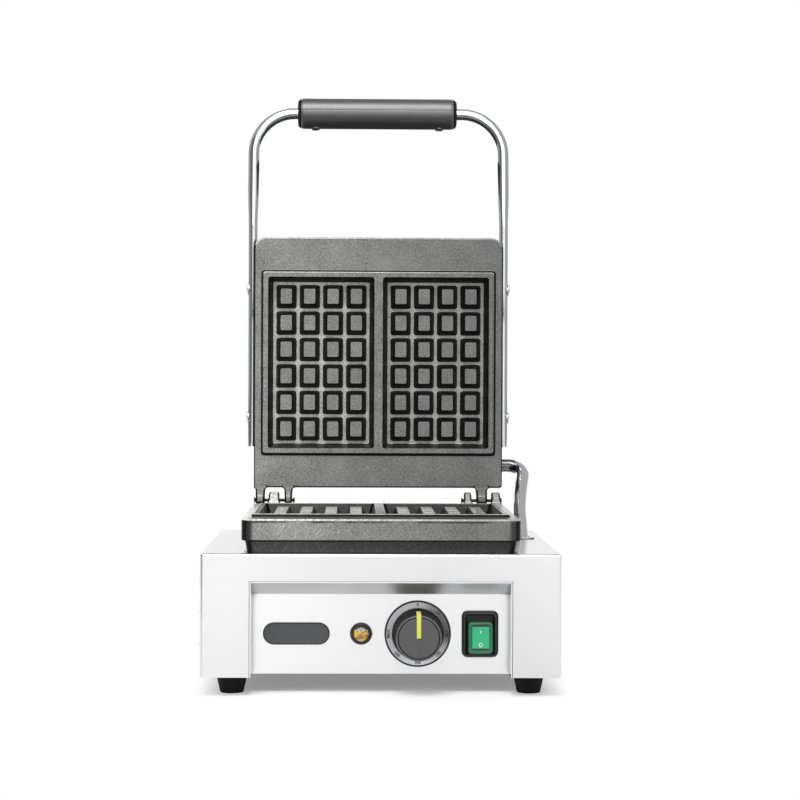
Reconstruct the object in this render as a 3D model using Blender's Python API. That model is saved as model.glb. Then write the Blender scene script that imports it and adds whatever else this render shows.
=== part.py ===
"""Countertop iron for liege waffles: a folded steel base, two hinged cast plates and a tube handle.

Metres, +Z up, +Y away from the user. The origin is under the middle of the machine's box, on the table.
Pieces are modelled in the frame of the machine (y = 0 at the front of the base, z = 0 on the table) or,
on the lid, in the frame of the closed lid (the hinge axis at the origin, the front towards -Y).
"""

import math

import bmesh
import bpy
from mathutils import Matrix, Vector

# Common values
gap = 0.0003
overrun = 0.002
round_sides = 24
small_sides = 12
fine_sides = 32
corner_steps = 4

# Base housing
base_side_shelf = 0.034
base_front_shelf = 0.0023
base_rear_shelf = 0.047
base_height = 0.1047
foot_height = 0.016
sheet = 0.0012
fold_radius = 0.002
fold_steps = 2

# Front recess and its folded panel
recess_from_side = 0.0411
recess_header_share = 0.2235
recess_depth = 0.027
ceiling_drop = 0.013

# Louvres in both sides
louvre_height = 0.0095
louvre_out = 0.004
louvre_pitch = 0.0273
louvre_top_drop = 0.029
louvre_rows = 3
louvre_front = 0.045
louvre_rear = 0.050
louvre_between = 0.025
louvre_columns = 2

# Cast plates, the same for base and lid
plate_rear = 0.0133
plate_side_margin = 0.0072
rim_half_draft = 0.00125
rim_draft_height = 0.0035
mating_clearance = 0.0003
plateau_height = 0.0025
plateau_bevel = 0.0012
flange_thickness = 0.0186
skirt_inset_top = 0.0029
skirt_inset_bottom = 0.0049
skirt_height = 0.0163
skirt_above_base = 0.0103
plate_corner = 0.008
plate_rear_corner = 0.002
casting_wall = 0.005
web_thickness = 0.006

# Waffle cells
cell_width = 0.1007
cell_length = 0.163
cell_depth = 0.012
cell_wall_run = 0.0042
divider_width = 0.0086
cell_border = 0.0068
cell_side_border = 0.0063
stud_columns = 4
stud_rows = 6
stud_channel_x = 0.0031
stud_channel_y = 0.0028
stud_wall_run = 0.004
stud_recess = 0.0025
cells_rear_margin = 0.0308
cells_front_margin = 0.030

# Hinge lugs and pins
lug_eye_radius = 0.008
lug_eye_start = math.radians(130)
lug_eye_span = math.radians(260)
lug_eye_steps = 8
lug_sole_share = 0.85
pin_radius = 0.00275
pin_clearance = 0.0002
pin_overhang = 0.0022
pin_head_radius = 0.0042
pin_head_length = 0.0015
middle_lug_from_side = (0.0250, 0.0143)
inner_lug_from_side = (0.0370, 0.0293)
outer_lug_from_side = (0.0110, 0.0019)
lid_open_angle = math.radians(90)

# Heating elements and what covers them
element_radius = 0.00325
element_inner_share = 0.2025
element_outer_share = 0.6075
element_front_margin = 0.028
element_rear_margin = 0.030
element_bend_steps = 6
clamp_thickness = 0.0015
clamp_edge = 0.012
insulation_inset = 0.006
cover_thickness = 0.0012
cover_lip = 0.0006
cover_screw_from_rear = 0.055
cover_screw_inset = 0.007
cover_screw_reach = 0.0075
cover_screw_dome_shares = ((0.8, 0.6), (0, 0.75))
pocket_corner = 0.006

# Straps that carry the lower plate under the base top
bracket_width = 0.022
bracket_thickness = 0.002
bracket_end_space = 0.0133
bracket_joggle = 0.0075
bracket_front_edge = 0.032
bracket_rear_edge = 0.014

# Feet
foot_radius_top = 0.013
foot_sides = 18
foot_radius_bottom = 0.0107
foot_lip = 0.0022
foot_side_margin = 0.0255
foot_margin = 0.030
foot_screw_radius = 0.002
foot_screw_head_radius = 0.0042
foot_screw_head = 0.003
foot_well_radius = 0.0055
foot_well = 0.007
foot_screw_reach = 0.004

# Handle
handle_lean = math.radians(9)
handle_back = 0.0272
tube_radius = 0.0055
tube_wall = 0.0012
arm_width = 0.0094
arm_beside_plate = 0.0064
arm_end = 0.0505
lean_beyond_plate = 0.0113
lean_radius = 0.060
lean_steps = 3
grip_beyond_plate = 0.1233
handle_corner = 0.040
handle_corner_steps = 5
tube_sides = 12
handle_bolt_from_front = 0.0489
handle_bolt_from_rear = 0.0651
handle_bolt_head_radius = 0.00575
handle_bolt_head = 0.0018
handle_bolt_dome_shares = ((0.9, 0.5), (0.5, 0.92), (0, 1))
handle_bolt_radius = 0.003
handle_bolt_reach = 0.005
pad_radius = 0.007

# Grip
grip_radius = 0.0144
grip_from_bend = 0.00345
grip_end_round = 0.004
grip_round_share = 0.3
grip_screw_from_end = 0.01755
grip_boss_radius = 0.004
grip_boss_out = 0.0022
grip_screw_radius = 0.0015
grip_screw_head_radius = 0.003
grip_screw_head = 0.002
grip_screw_well = 0.003
grip_screw_reach = 0.005

# Conduit between lid and base
conduit_radius = 0.0061
conduit_wall = 0.001
conduit_sides = 16
conduit_back = 0.0288
conduit_from_hinge = 0.0325
conduit_inside_plate = 0.012
conduit_shoulder_beside_plate = 0.0211
conduit_leg_beside_plate = 0.015
conduit_bend = 0.014
conduit_bend_steps = 5
conduit_sway_start = 0.016
conduit_sway_end = 0.052
conduit_sway_steps = 4
conduit_entry_ahead = 0.057
conduit_tail = 0.016
conduit_swing = 0.0032
slot_clearance = 0.0007
washer_border = 0.0042
washer_thickness = 0.0012
bush_wall = 0.0008
bush_clearance = 0.0003

# Temperature control, and the order of the controls from left to right
control_height_share = 0.504
control_space_shares = (0.1847, 0.2949, 0.1797, 0.1576, 0.1831)
dial_radius_share = 0.4158
dial_thickness = 0.001
dial_hole = 0.005
knob_back = 0.0040
knob_length = 0.034
knob_inside_dial = 0.00615
knob_taper = 0.0038
knob_shoulder = 0.006
knob_hub_radius = 0.0075
knob_wall = 0.0025
pointer_width = 0.0039
pointer_height = 0.0006
pointer_face_reach = 0.0006
shaft_radius = 0.003
shaft_clearance = 0.0004
shaft_into_knob = 0.016
thermostat_size = (0.042, 0.030, 0.036)
thermostat_bore = 0.008
capillary_radius = 0.00125
capillary_sides = 8
capillary_steps = 8
capillary_bend_steps = 4
capillary_lead = 0.005
capillary_bend = 0.00375
bulb_radius = 0.003
bulb_length_share = 0.4895
bulb_ahead = 0.009
capillary_hole = 0.004

# Lamp
lamp_radius = 0.0094
lamp_lens_radius = 0.0066
lamp_body_radius = 0.006
lamp_lead_hole = 0.0036
lamp_bezel_height = 0.003
lamp_bezel_edge = 0.0018
lamp_lens_height = 0.0052
lamp_body_length = 0.022
lamp_lens_seat = 0.0012
lamp_lens_dome_shares = ((1, 0), (0.8, 0.5), (0.45, 0.86), (0, 1))

# Rocker switch
switch_width = 0.0312
switch_height = 0.0395
switch_corner = 0.0038
switch_frame_out = 0.0035
switch_body_width = 0.027
switch_body_height = 0.034
switch_body_length = 0.026
switch_lip = 0.0012
rocker_width = 0.0222
rocker_height = 0.0276
rocker_out = 0.0052
rocker_tilt = math.radians(7)
rocker_clearance = 0.0007
rocker_depth = 0.009
rocker_pivot_depth = 0.0045
rocker_well_extra = 0.0035
rocker_corner = 0.002

# Badge place
badge_width = 0.057
badge_height = 0.0189
badge_thickness = 0.0012
badge_end_steps = 6

# Mains entry
gland_from_side = 0.0575
gland_height = 0.050
gland_radius = 0.0095
gland_thread_radius = 0.0075
gland_bore = 0.004
gland_out = 0.012
gland_in = 0.010
gland_shoulder_share = 0.7
gland_mouth_share = 0.75
gland_nut_radius = 0.011
gland_nut = 0.004
gland_nut_sides = 6
terminal_size = (0.060, 0.022, 0.020)
terminal_from_side = 0.0925
terminal_from_rear = 0.060

# Places worked out from the sizes above
cells_width = 2 * cell_width + divider_width
plate_width = cells_width + 2 * (cell_side_border + plate_side_margin)
plate_length = cells_front_margin + cell_length + 2 * cell_border + cells_rear_margin
plate_front = plate_rear + plate_length
half_plate = plate_width / 2
stud_base_x = (cell_width - 2 * cell_wall_run - (stud_columns + 1) * stud_channel_x) / stud_columns
stud_base_y = (cell_length - 2 * cell_wall_run - (stud_rows + 1) * stud_channel_y) / stud_rows
stud_pitch_x = stud_base_x + stud_channel_x
stud_pitch_y = stud_base_y + stud_channel_y
base_width = plate_width + 2 * base_side_shelf
hinge_from_front = plate_front + base_front_shelf
base_depth = hinge_from_front + base_rear_shelf
base_bottom = foot_height
base_top = base_bottom + base_height
half_base = base_width / 2
louvre_run = base_depth - louvre_front - louvre_rear + louvre_between
louvre_spacing = louvre_run / louvre_columns
louvre_length = louvre_spacing - louvre_between
middle_lug = [half_plate - distance for distance in middle_lug_from_side]
inner_lug = [half_plate - distance for distance in inner_lug_from_side]
outer_lug = [half_plate - distance for distance in outer_lug_from_side]
element_inner_x = half_plate * element_inner_share
element_outer_x = half_plate * element_outer_share
bulb_length = half_plate * bulb_length_share
casting_depth = mating_clearance / 2 + plateau_height + flange_thickness + skirt_height
rim_level = mating_clearance / 2 + plateau_height
flange_back = rim_level + flange_thickness
hinge_height = base_top + skirt_above_base + flange_back
web_back = mating_clearance / 2 + cell_depth + web_thickness
element_level = web_back + gap + element_radius
clamp_level = element_level + element_radius + gap
insulation_level = clamp_level + clamp_thickness + gap
cover_level = casting_depth + gap
cover_outside = cover_level + cover_thickness
recess_half_width = half_base - recess_from_side
panel_face = recess_depth
recess_top = base_top - base_height * recess_header_share
panel_top = recess_top - ceiling_drop
panel_height = panel_top - base_bottom
control_height = base_bottom + panel_height * control_height_share
dial_radius = panel_height * dial_radius_share
knob_radius = dial_radius - knob_inside_dial
knob_face_radius = knob_radius - knob_taper
knob_face = knob_back + knob_length
control_widths = (badge_width, 2 * lamp_radius, 2 * dial_radius, switch_width)
control_space = 2 * recess_half_width - sum(control_widths)
badge_x, lamp_x, dial_x, switch_x = [
    -recess_half_width
    + control_space * sum(control_space_shares[: i + 1])
    + sum(control_widths[:i])
    + control_widths[i] / 2
    for i in range(len(control_widths))
]
foot_x = half_base - foot_side_margin
bracket_half_length = half_base - sheet - bracket_end_space
gland_x = gland_from_side - half_base
terminal_x = terminal_from_side - half_base
arm_outer = half_plate + arm_beside_plate
arm_x = arm_outer - arm_width / 2
lean_start = plate_front + lean_beyond_plate
grip_distance = plate_front + grip_beyond_plate
handle_bolt_far = plate_front - handle_bolt_from_front
handle_bolt_near = plate_rear + handle_bolt_from_rear
grip_slope = grip_distance - lean_start - lean_radius * math.sin(handle_lean)
lean_rise = lean_radius * (1 - math.cos(handle_lean))
grip_back = handle_back + lean_rise + grip_slope * math.tan(handle_lean)
grip_length = 2 * (arm_x - handle_corner - grip_from_bend)
grip_screw_x = grip_length / 2 - grip_screw_from_end
conduit_inner_end = half_plate - conduit_inside_plate
conduit_shoulder = half_plate + conduit_shoulder_beside_plate
conduit_leg = half_plate + conduit_leg_beside_plate
conduit_entry = hinge_from_front - conduit_entry_ahead
conduit_run = conduit_back + conduit_entry_ahead
conduit_fall = hinge_height + conduit_from_hinge - base_top
conduit_reach = math.hypot(conduit_run, conduit_fall)
conduit_lean = math.atan2(conduit_run, conduit_fall)
bulb_y = hinge_from_front - plate_front + element_front_margin - bulb_ahead
slot_half_width = conduit_radius + slot_clearance
slot_half_length = conduit_radius / math.cos(conduit_lean) + conduit_swing
front_reach = panel_face - knob_face - gap - pointer_height
rear_reach = max(
    hinge_from_front + grip_back + grip_radius,
    hinge_from_front + cover_outside,
    base_depth + gland_out,
)
middle_y = (front_reach + rear_reach) / 2


def linear(channel):
    """One sRGB channel from 0 to 1 as linear light."""
    low = channel <= 0.04045
    return channel / 12.92 if low else ((channel + 0.055) / 1.055) ** 2.4


def material(name, colour, roughness, metallic=0.0):
    """A Principled material from an sRGB hex colour."""
    made = bpy.data.materials.new(name)
    made.use_nodes = True
    shader = made.node_tree.nodes["Principled BSDF"]
    channels = [int(colour[i : i + 2], 16) / 255 for i in (0, 2, 4)]
    shader.inputs["Base Color"].default_value = [linear(c) for c in channels] + [1.0]
    shader.inputs["Roughness"].default_value = roughness
    shader.inputs["Metallic"].default_value = metallic
    return made


def empty(name, place, parent=None, turn=0.0):
    """An empty on a joint's axis, turned about X."""
    made = bpy.data.objects.new(name, None)
    bpy.context.scene.collection.objects.link(made)
    made.location = place
    made.rotation_euler.x = turn
    made.parent = parent
    return made


def facing_out(mesh):
    """The same closed mesh with every face turned outwards."""
    bmesh.ops.recalc_face_normals(mesh, faces=mesh.faces[:])
    if mesh.calc_volume(signed=True) < 0:
        bmesh.ops.reverse_faces(mesh, faces=mesh.faces[:])
    return mesh


def mesh_object(name, mesh, parent, looks=None, place=(0, 0, 0), turn=(0, 0, 0)):
    """An object that holds this bmesh."""
    data = bpy.data.meshes.new(name)
    mesh.to_mesh(data)
    mesh.free()
    made = bpy.data.objects.new(name, data)
    bpy.context.scene.collection.objects.link(made)
    made.parent = parent
    made.location = place
    made.rotation_euler = turn
    if looks:
        data.materials.append(looks)
    return made


def smooth(made, angle=math.radians(35)):
    """Shades a round piece smooth but for its real edges."""
    made.data.shade_smooth()
    made.data.set_sharp_from_angle(angle=angle)
    return made


def rounded_outline(half_x, half_y, corner, steps=corner_steps, rear_corner=None):
    """A rectangle with round corners, anticlockwise, whose +Y corners may have another radius."""
    outline = []
    for quarter, (side_x, side_y) in enumerate(((1, 1), (-1, 1), (-1, -1), (1, -1))):
        radius = corner if rear_corner is None or side_y < 0 else rear_corner
        for step in range(steps + 1):
            angle = (quarter + step / steps) * math.pi / 2
            outline.append(
                (
                    side_x * (half_x - radius) + radius * math.cos(angle),
                    side_y * (half_y - radius) + radius * math.sin(angle),
                )
            )
    return outline


def loft_mesh(sections):
    """A closed bmesh through outlines of equal point count, each with its height."""
    mesh = bmesh.new()
    rings = [
        [mesh.verts.new((x, y, height)) for x, y in outline]
        for outline, height in sections
    ]
    for low, high in zip(rings, rings[1:]):
        for i in range(len(low)):
            j = (i + 1) % len(low)
            mesh.faces.new((low[i], low[j], high[j], high[i]))
    mesh.faces.new(rings[0][::-1])
    mesh.faces.new(rings[-1])
    return facing_out(mesh)


def prism_mesh(outline, start, end, along="z"):
    """An outline extruded from start to end: (x, y) along z, (x, z) along y or (y, z) along x."""
    mesh = loft_mesh([(outline, start), (outline, end)])
    if along == "y":
        mesh.transform(Matrix(((1, 0, 0, 0), (0, 0, 1, 0), (0, 1, 0, 0), (0, 0, 0, 1))))
    if along == "x":
        mesh.transform(Matrix(((0, 0, 1, 0), (1, 0, 0, 0), (0, 1, 0, 0), (0, 0, 0, 1))))
    return facing_out(mesh)


def box_mesh(low, high):
    """A box between two corners."""
    outline = [(low[0], low[1]), (high[0], low[1]), (high[0], high[1]), (low[0], high[1])]
    return loft_mesh([(outline, low[2]), (outline, high[2])])


def turned_mesh(profile, sides=round_sides, bored=False):
    """A profile of (radius, height) turned about Z. A bored profile closes on itself."""
    mesh = bmesh.new()
    rings = []
    for radius, height in profile:
        if radius == 0:
            rings.append([mesh.verts.new((0, 0, height))])
            continue
        angles = [2 * math.pi * i / sides for i in range(sides)]
        rings.append(
            [mesh.verts.new((radius * math.cos(a), radius * math.sin(a), height)) for a in angles]
        )
    pairs = list(zip(rings, rings[1:]))
    if bored:
        pairs.append((rings[-1], rings[0]))
    for one, other in pairs:
        for i in range(sides):
            j = (i + 1) % sides
            corners = [one[i % len(one)], one[j % len(one)], other[j % len(other)], other[i % len(other)]]
            unlike = list(dict.fromkeys(corners))
            if len(unlike) > 2:
                mesh.faces.new(unlike)
    return facing_out(mesh)


def swept_mesh(points, radius, sides, bore=0.0, flatten=None):
    """A round tube along points, with square ends and, where bore is given, a hole all the way."""
    mesh = bmesh.new()
    points = [Vector(p) for p in points]
    tangents = []
    for i in range(len(points)):
        ahead = points[min(i + 1, len(points) - 1)] - points[i]
        behind = points[i] - points[max(i - 1, 0)]
        tangents.append((ahead.normalized() + behind.normalized()).normalized())
    side = tangents[0].orthogonal().normalized()
    outer, inner = [], []
    for point, tangent in zip(points, tangents):
        side = (side - tangent * side.dot(tangent)).normalized()
        other = tangent.cross(side)
        squash = flatten(point) if flatten else 1.0
        for ring, size in ((outer, radius), (inner, bore)):
            if size == 0:
                continue
            row = []
            for i in range(sides):
                angle = 2 * math.pi * i / sides
                offset = side * math.cos(angle) * size + other * math.sin(angle) * size
                offset.x *= squash
                row.append(mesh.verts.new(point + offset))
            ring.append(row)
    for rings in (outer, inner):
        for low, high in zip(rings, rings[1:]):
            for i in range(sides):
                j = (i + 1) % sides
                mesh.faces.new((low[i], low[j], high[j], high[i]))
    for end in (0, -1):
        if not bore:
            mesh.faces.new(outer[end])
            continue
        for i in range(sides):
            j = (i + 1) % sides
            mesh.faces.new((outer[end][i], outer[end][j], inner[end][j], inner[end][i]))
    return facing_out(mesh)


def helper(target, name, mesh, place=(0, 0, 0), turn=(0, 0, 0)):
    """A hidden cutter or addition in the frame of the object it works on."""
    made = mesh_object(name, mesh, target, place=place, turn=turn)
    made.hide_render = True
    made.display_type = "WIRE"
    return made


def boolean(target, name, mesh, operation, place, turn, solver):
    """Joins a shape to the target, or cuts it away."""
    step = target.modifiers.new(name, "BOOLEAN")
    step.solver = solver
    step.operation = operation
    step.object = helper(target, f"{target.name}.{name}", mesh, place, turn)
    return target


def cut(target, name, mesh, place=(0, 0, 0), turn=(0, 0, 0), solver="EXACT"):
    return boolean(target, name, mesh, "DIFFERENCE", place, turn, solver)


def join(target, name, mesh, place=(0, 0, 0), turn=(0, 0, 0), solver="EXACT"):
    return boolean(target, name, mesh, "UNION", place, turn, solver)


def rod_mesh(radius, start, end, sides=small_sides):
    """A plain cylinder along Z."""
    return turned_mesh([(0, start), (radius, start), (radius, end), (0, end)], sides)


def merged(meshes):
    """Several bmeshes that don't touch, as one."""
    whole = bmesh.new()
    for mesh in meshes:
        part = bpy.data.meshes.new("piece")
        mesh.to_mesh(part)
        mesh.free()
        whole.from_mesh(part)
        bpy.data.meshes.remove(part)
    return whole


facing_user = (math.radians(90), 0, 0)
facing_right = (0, math.radians(90), 0)
upside_down = (0, math.radians(180), 0)


def louvre_meshes(side):
    """The hoods of one side and the hollows under them, each as one mesh."""
    hoods, hollows = [], []
    wall = side * half_base
    for row in range(louvre_rows):
        lip = base_top - louvre_top_drop - row * louvre_pitch
        top = lip + louvre_height
        hood = [
            (wall - side * sheet / 2, top),
            (wall, top),
            (wall + side * louvre_out, lip + louvre_out / 2),
            (wall + side * louvre_out, lip),
            (wall - side * sheet / 2, lip),
        ]
        hollow = [
            (wall - side * (sheet + overrun), top - louvre_out),
            (wall, top - louvre_out / 2 - sheet),
            (wall + side * (louvre_out - sheet), lip + louvre_out / 2 - sheet / 2),
            (wall + side * (louvre_out - sheet), lip - overrun),
            (wall + side * sheet / 4, lip - overrun),
            (wall + side * sheet / 4, lip + sheet),
            (wall - side * (sheet + overrun), lip + sheet),
        ]
        for column in range(louvre_columns):
            start = louvre_front + column * louvre_spacing
            end = start + louvre_length
            hoods.append(prism_mesh(hood, start, end, "y"))
            hollows.append(prism_mesh(hollow, start + sheet, end - sheet, "y"))
    return merged(hoods), merged(hollows)


def is_fold(edge):
    """Whether the sheet is bent here: round the front but for its foot, and along the sides of the top."""
    one, other = [v.co for v in edge.verts]
    middle = (one + other) / 2
    at_front = middle.y < gap
    at_foot = middle.z < base_bottom + gap
    at_top = middle.z > base_top - gap
    along_side = abs(one.y - other.y) > gap
    return (at_front and not at_foot) or (at_top and along_side)


def make_housing(machine, steel):
    """Top, sides and front frame, folded from one sheet and open below and behind."""
    block = box_mesh((-half_base, 0, base_bottom), (half_base, base_depth, base_top))
    folds = [edge for edge in block.edges if is_fold(edge)]
    bmesh.ops.bevel(
        block,
        geom=folds,
        offset=fold_radius,
        segments=fold_steps,
        profile=0.5,
        affect="EDGES",
    )
    housing = mesh_object("base_housing", block, machine, steel)
    cut(
        housing,
        "hollow",
        box_mesh(
            (-half_base + sheet, sheet, base_bottom - overrun),
            (half_base - sheet, base_depth + overrun, base_top - sheet),
        ),
    )
    cut(
        housing,
        "recess",
        box_mesh(
            (-recess_half_width, -overrun, base_bottom - overrun),
            (recess_half_width, sheet + overrun, recess_top),
        ),
    )
    opening_half = half_plate - skirt_inset_bottom + 2 * gap
    opening_front = hinge_from_front - plate_front + skirt_inset_bottom - 2 * gap
    opening_rear = hinge_from_front - plate_rear - skirt_inset_bottom + 2 * gap
    opening = rounded_outline(
        opening_half,
        (opening_rear - opening_front) / 2,
        plate_corner - skirt_inset_bottom / 2,
        rear_corner=plate_rear_corner,
    )
    cut(
        housing,
        "plate_opening",
        prism_mesh(opening, base_top - sheet - overrun, base_top + overrun),
        place=(0, (opening_rear + opening_front) / 2, 0),
    )
    slot = rounded_outline(slot_half_width, slot_half_length, slot_half_width - gap)
    cut(
        housing,
        "conduit_slot",
        prism_mesh(slot, base_top - sheet - overrun, base_top + overrun),
        place=(conduit_leg, conduit_entry, 0),
    )
    for side in (-1, 1):
        hoods, hollows = louvre_meshes(side)
        join(housing, f"louvre_hoods_{side + 1}", hoods)
        cut(housing, f"louvre_hollows_{side + 1}", hollows)
    return housing


def make_front_panel(machine, steel):
    """The recessed control panel, folded with a sloping ceiling and two side jambs."""
    half = recess_half_width - gap
    lip = sheet + gap
    strip = [
        (panel_face, base_bottom),
        (panel_face + sheet, base_bottom),
        (panel_face + sheet, panel_top + sheet),
        (lip, recess_top - gap),
        (lip, recess_top - sheet - gap),
        (panel_face, panel_top),
    ]
    panel = mesh_object("front_panel", prism_mesh(strip, -half, half, "x"), machine, steel)
    jamb = [
        (lip, base_bottom),
        (panel_face + sheet / 2, base_bottom),
        (panel_face + sheet / 2, panel_top + sheet / 2),
        (lip, recess_top - gap - sheet / 2),
    ]
    for side in (-1, 1):
        ends = sorted((side * half, side * (half - sheet)))
        join(panel, f"jamb_{side + 1}", prism_mesh(jamb, *ends, "x"))
    holes = (
        ("shaft_hole", dial_x, shaft_radius + 2 * shaft_clearance),
        ("lamp_hole", lamp_x, lamp_body_radius + gap),
    )
    for name, x, radius in holes:
        cut(
            panel,
            name,
            rod_mesh(radius, -sheet - overrun, overrun),
            place=(x, panel_face, control_height),
            turn=facing_user,
        )
    window = rounded_outline(switch_body_width / 2 + gap, switch_body_height / 2 + gap, switch_lip)
    cut(
        panel,
        "switch_hole",
        prism_mesh(window, -sheet - overrun, overrun),
        place=(switch_x, panel_face, control_height),
        turn=facing_user,
    )
    return panel


def make_closing_sheets(machine, steel):
    """The rear panel and the bottom plate, notched round the front recess."""
    inside = half_base - sheet - gap
    rear_face = base_depth - gap
    rear = mesh_object(
        "rear_panel",
        box_mesh(
            (-inside, rear_face - sheet, base_bottom + sheet + gap),
            (inside, rear_face, base_top - sheet - gap),
        ),
        machine,
        steel,
    )
    cut(
        rear,
        "gland_hole",
        rod_mesh(gland_thread_radius + gap, -overrun, sheet + overrun),
        place=(gland_x, rear_face, gland_height),
        turn=facing_user,
    )
    notch_x = recess_half_width
    notch_y = panel_face + sheet + gap
    front = sheet + gap
    outline = [
        (-inside, front),
        (-notch_x, front),
        (-notch_x, notch_y),
        (notch_x, notch_y),
        (notch_x, front),
        (inside, front),
        (inside, rear_face),
        (-inside, rear_face),
    ]
    bottom = mesh_object(
        "bottom_plate", prism_mesh(outline, base_bottom, base_bottom + sheet), machine, steel
    )
    holes = [
        rod_mesh(foot_screw_radius + gap, -overrun, sheet + overrun, small_sides)
        for _ in foot_places()
    ]
    for hole, (_, x, y) in zip(holes, foot_places()):
        hole.transform(Matrix.Translation((x, y, base_bottom)))
    cut(bottom, "screw_holes", merged(holes))
    return rear, bottom


def foot_places():
    """The name, x and y of each foot."""
    rows = (("front", foot_margin), ("rear", base_depth - foot_margin))
    return [
        (f"{row}_{side}", x, y) for row, y in rows for side, x in (("left", -foot_x), ("right", foot_x))
    ]


def make_feet(machine, rubber, zinc):
    """Four tapered feet, each held by a screw from below."""
    top = base_bottom - gap
    profile = [
        (foot_screw_radius + gap, top),
        (foot_radius_top, top),
        (foot_radius_top, top - foot_lip),
        (foot_radius_bottom, 0),
        (foot_well_radius, 0),
        (foot_well_radius, foot_well),
        (foot_screw_radius + gap, foot_well),
    ]
    head_top = foot_well - gap
    screw = [
        (0, head_top - foot_screw_head),
        (foot_screw_head_radius, head_top - foot_screw_head),
        (foot_screw_head_radius, head_top),
        (foot_screw_radius, head_top),
        (foot_screw_radius, base_bottom + sheet + foot_screw_reach),
        (0, base_bottom + sheet + foot_screw_reach),
    ]
    for name, x, y in foot_places():
        foot = turned_mesh(profile, foot_sides, bored=True)
        smooth(mesh_object(f"foot_{name}", foot, machine, rubber, (x, y, 0)))
        smooth(
            mesh_object(
                f"foot_screw_{name}", turned_mesh(screw, small_sides), machine, zinc, (x, y, 0)
            )
        )


def plate_outline(inset, corner=plate_corner, rear=plate_rear_corner):
    """The plate's outline in the frame of the hinge, drawn in by an inset."""
    outline = rounded_outline(
        half_plate - inset,
        plate_length / 2 - inset,
        max(corner - inset / 2, rear),
        rear_corner=rear,
    )
    middle = -(plate_rear + plate_front) / 2
    return [(x, y + middle) for x, y in outline]


def cell_centres():
    """The x and y of the two cells' middles."""
    y = -(plate_rear + cells_rear_margin + cell_border + cell_length / 2)
    return [(side * (cell_width + divider_width) / 2, y) for side in (-1, 1)]


def tapered_mesh(centre, half_low, half_high, low, high):
    """A rectangle that changes size from its low to its high level."""
    sections = []
    for (half_x, half_y), level in ((half_low, low), (half_high, high)):
        corners = ((-1, -1), (1, -1), (1, 1), (-1, 1))
        outline = [(centre[0] + a * half_x, centre[1] + b * half_y) for a, b in corners]
        sections.append((outline, level))
    return loft_mesh(sections)


def lug_outline():
    """The side view of a hinge lug: an eye on the axis and a web into the plate's rear."""
    root = -(plate_rear + casting_wall / 2)
    points = [(root, -rim_level - gap)]
    for step in range(lug_eye_steps + 1):
        angle = lug_eye_start - lug_eye_span * step / lug_eye_steps
        points.append((lug_eye_radius * math.cos(angle), lug_eye_radius * math.sin(angle)))
    points.append((root, -flange_back * lug_sole_share))
    return points


def make_casting(name, parent, turn, iron, for_lid):
    """A plate with its mating face up: cells, studs, skirt, heater pocket and hinge lugs."""
    face = -mating_clearance / 2
    rim = -rim_level
    back = -flange_back
    slope = (skirt_inset_bottom - skirt_inset_top) / skirt_above_base
    bottom_inset = skirt_inset_top + slope * skirt_height
    body = loft_mesh(
        [
            (plate_outline(bottom_inset), -casting_depth),
            (plate_outline(skirt_inset_top), back),
            (plate_outline(0), back),
            (plate_outline(0), rim - rim_draft_height),
            (plate_outline(rim_half_draft), rim),
        ]
    )
    plate = mesh_object(name, body, parent, iron, turn=turn)
    x_half = cell_width + divider_width / 2 + cell_side_border
    centre = (0, cell_centres()[0][1])
    y_half = cell_length / 2 + cell_border
    plateau = tapered_mesh(
        centre,
        (x_half + plateau_bevel, y_half + plateau_bevel),
        (x_half, y_half),
        rim - plateau_height / 2,
        face,
    )
    join(plate, "plateau", plateau)
    top_growth = cell_wall_run * overrun / cell_depth
    cells = [
        tapered_mesh(
            cell,
            (cell_width / 2 - cell_wall_run, cell_length / 2 - cell_wall_run),
            (cell_width / 2 + top_growth, cell_length / 2 + top_growth),
            face - cell_depth,
            face + overrun,
        )
        for cell in cell_centres()
    ]
    cut(plate, "cells", merged(cells))
    studs = []
    for cell_x, cell_y in cell_centres():
        for column in range(stud_columns):
            for row in range(stud_rows):
                spot = (
                    cell_x + (column - (stud_columns - 1) / 2) * stud_pitch_x,
                    cell_y + (row - (stud_rows - 1) / 2) * stud_pitch_y,
                )
                base = (stud_base_x / 2, stud_base_y / 2)
                top = (base[0] - stud_wall_run, base[1] - stud_wall_run)
                root = (base[0] + gap, base[1] + gap)
                rise = cell_depth - stud_recess
                sink = rise * gap / stud_wall_run
                studs.append(
                    tapered_mesh(spot, root, top, face - cell_depth - sink, face - stud_recess)
                )
    join(plate, "studs", merged(studs))
    pocket = plate_outline(bottom_inset + casting_wall, pocket_corner * 2, pocket_corner)
    cut(plate, "pocket", prism_mesh(pocket, -casting_depth - overrun, -web_back))
    sections = ((-1, middle_lug), (1, inner_lug), (1, outer_lug))
    lugs = [
        prism_mesh(lug_outline(), *sorted((side * ends[0], side * ends[1])), "x")
        for side, ends in sections
    ]
    join(plate, "lugs", merged(lugs))
    bore = rod_mesh(pin_radius + pin_clearance, -half_plate - overrun, half_plate + overrun)
    cut(plate, "pin_bore", bore, turn=facing_right)
    if for_lid:
        add_lid_fittings(plate)
    return plate


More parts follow.
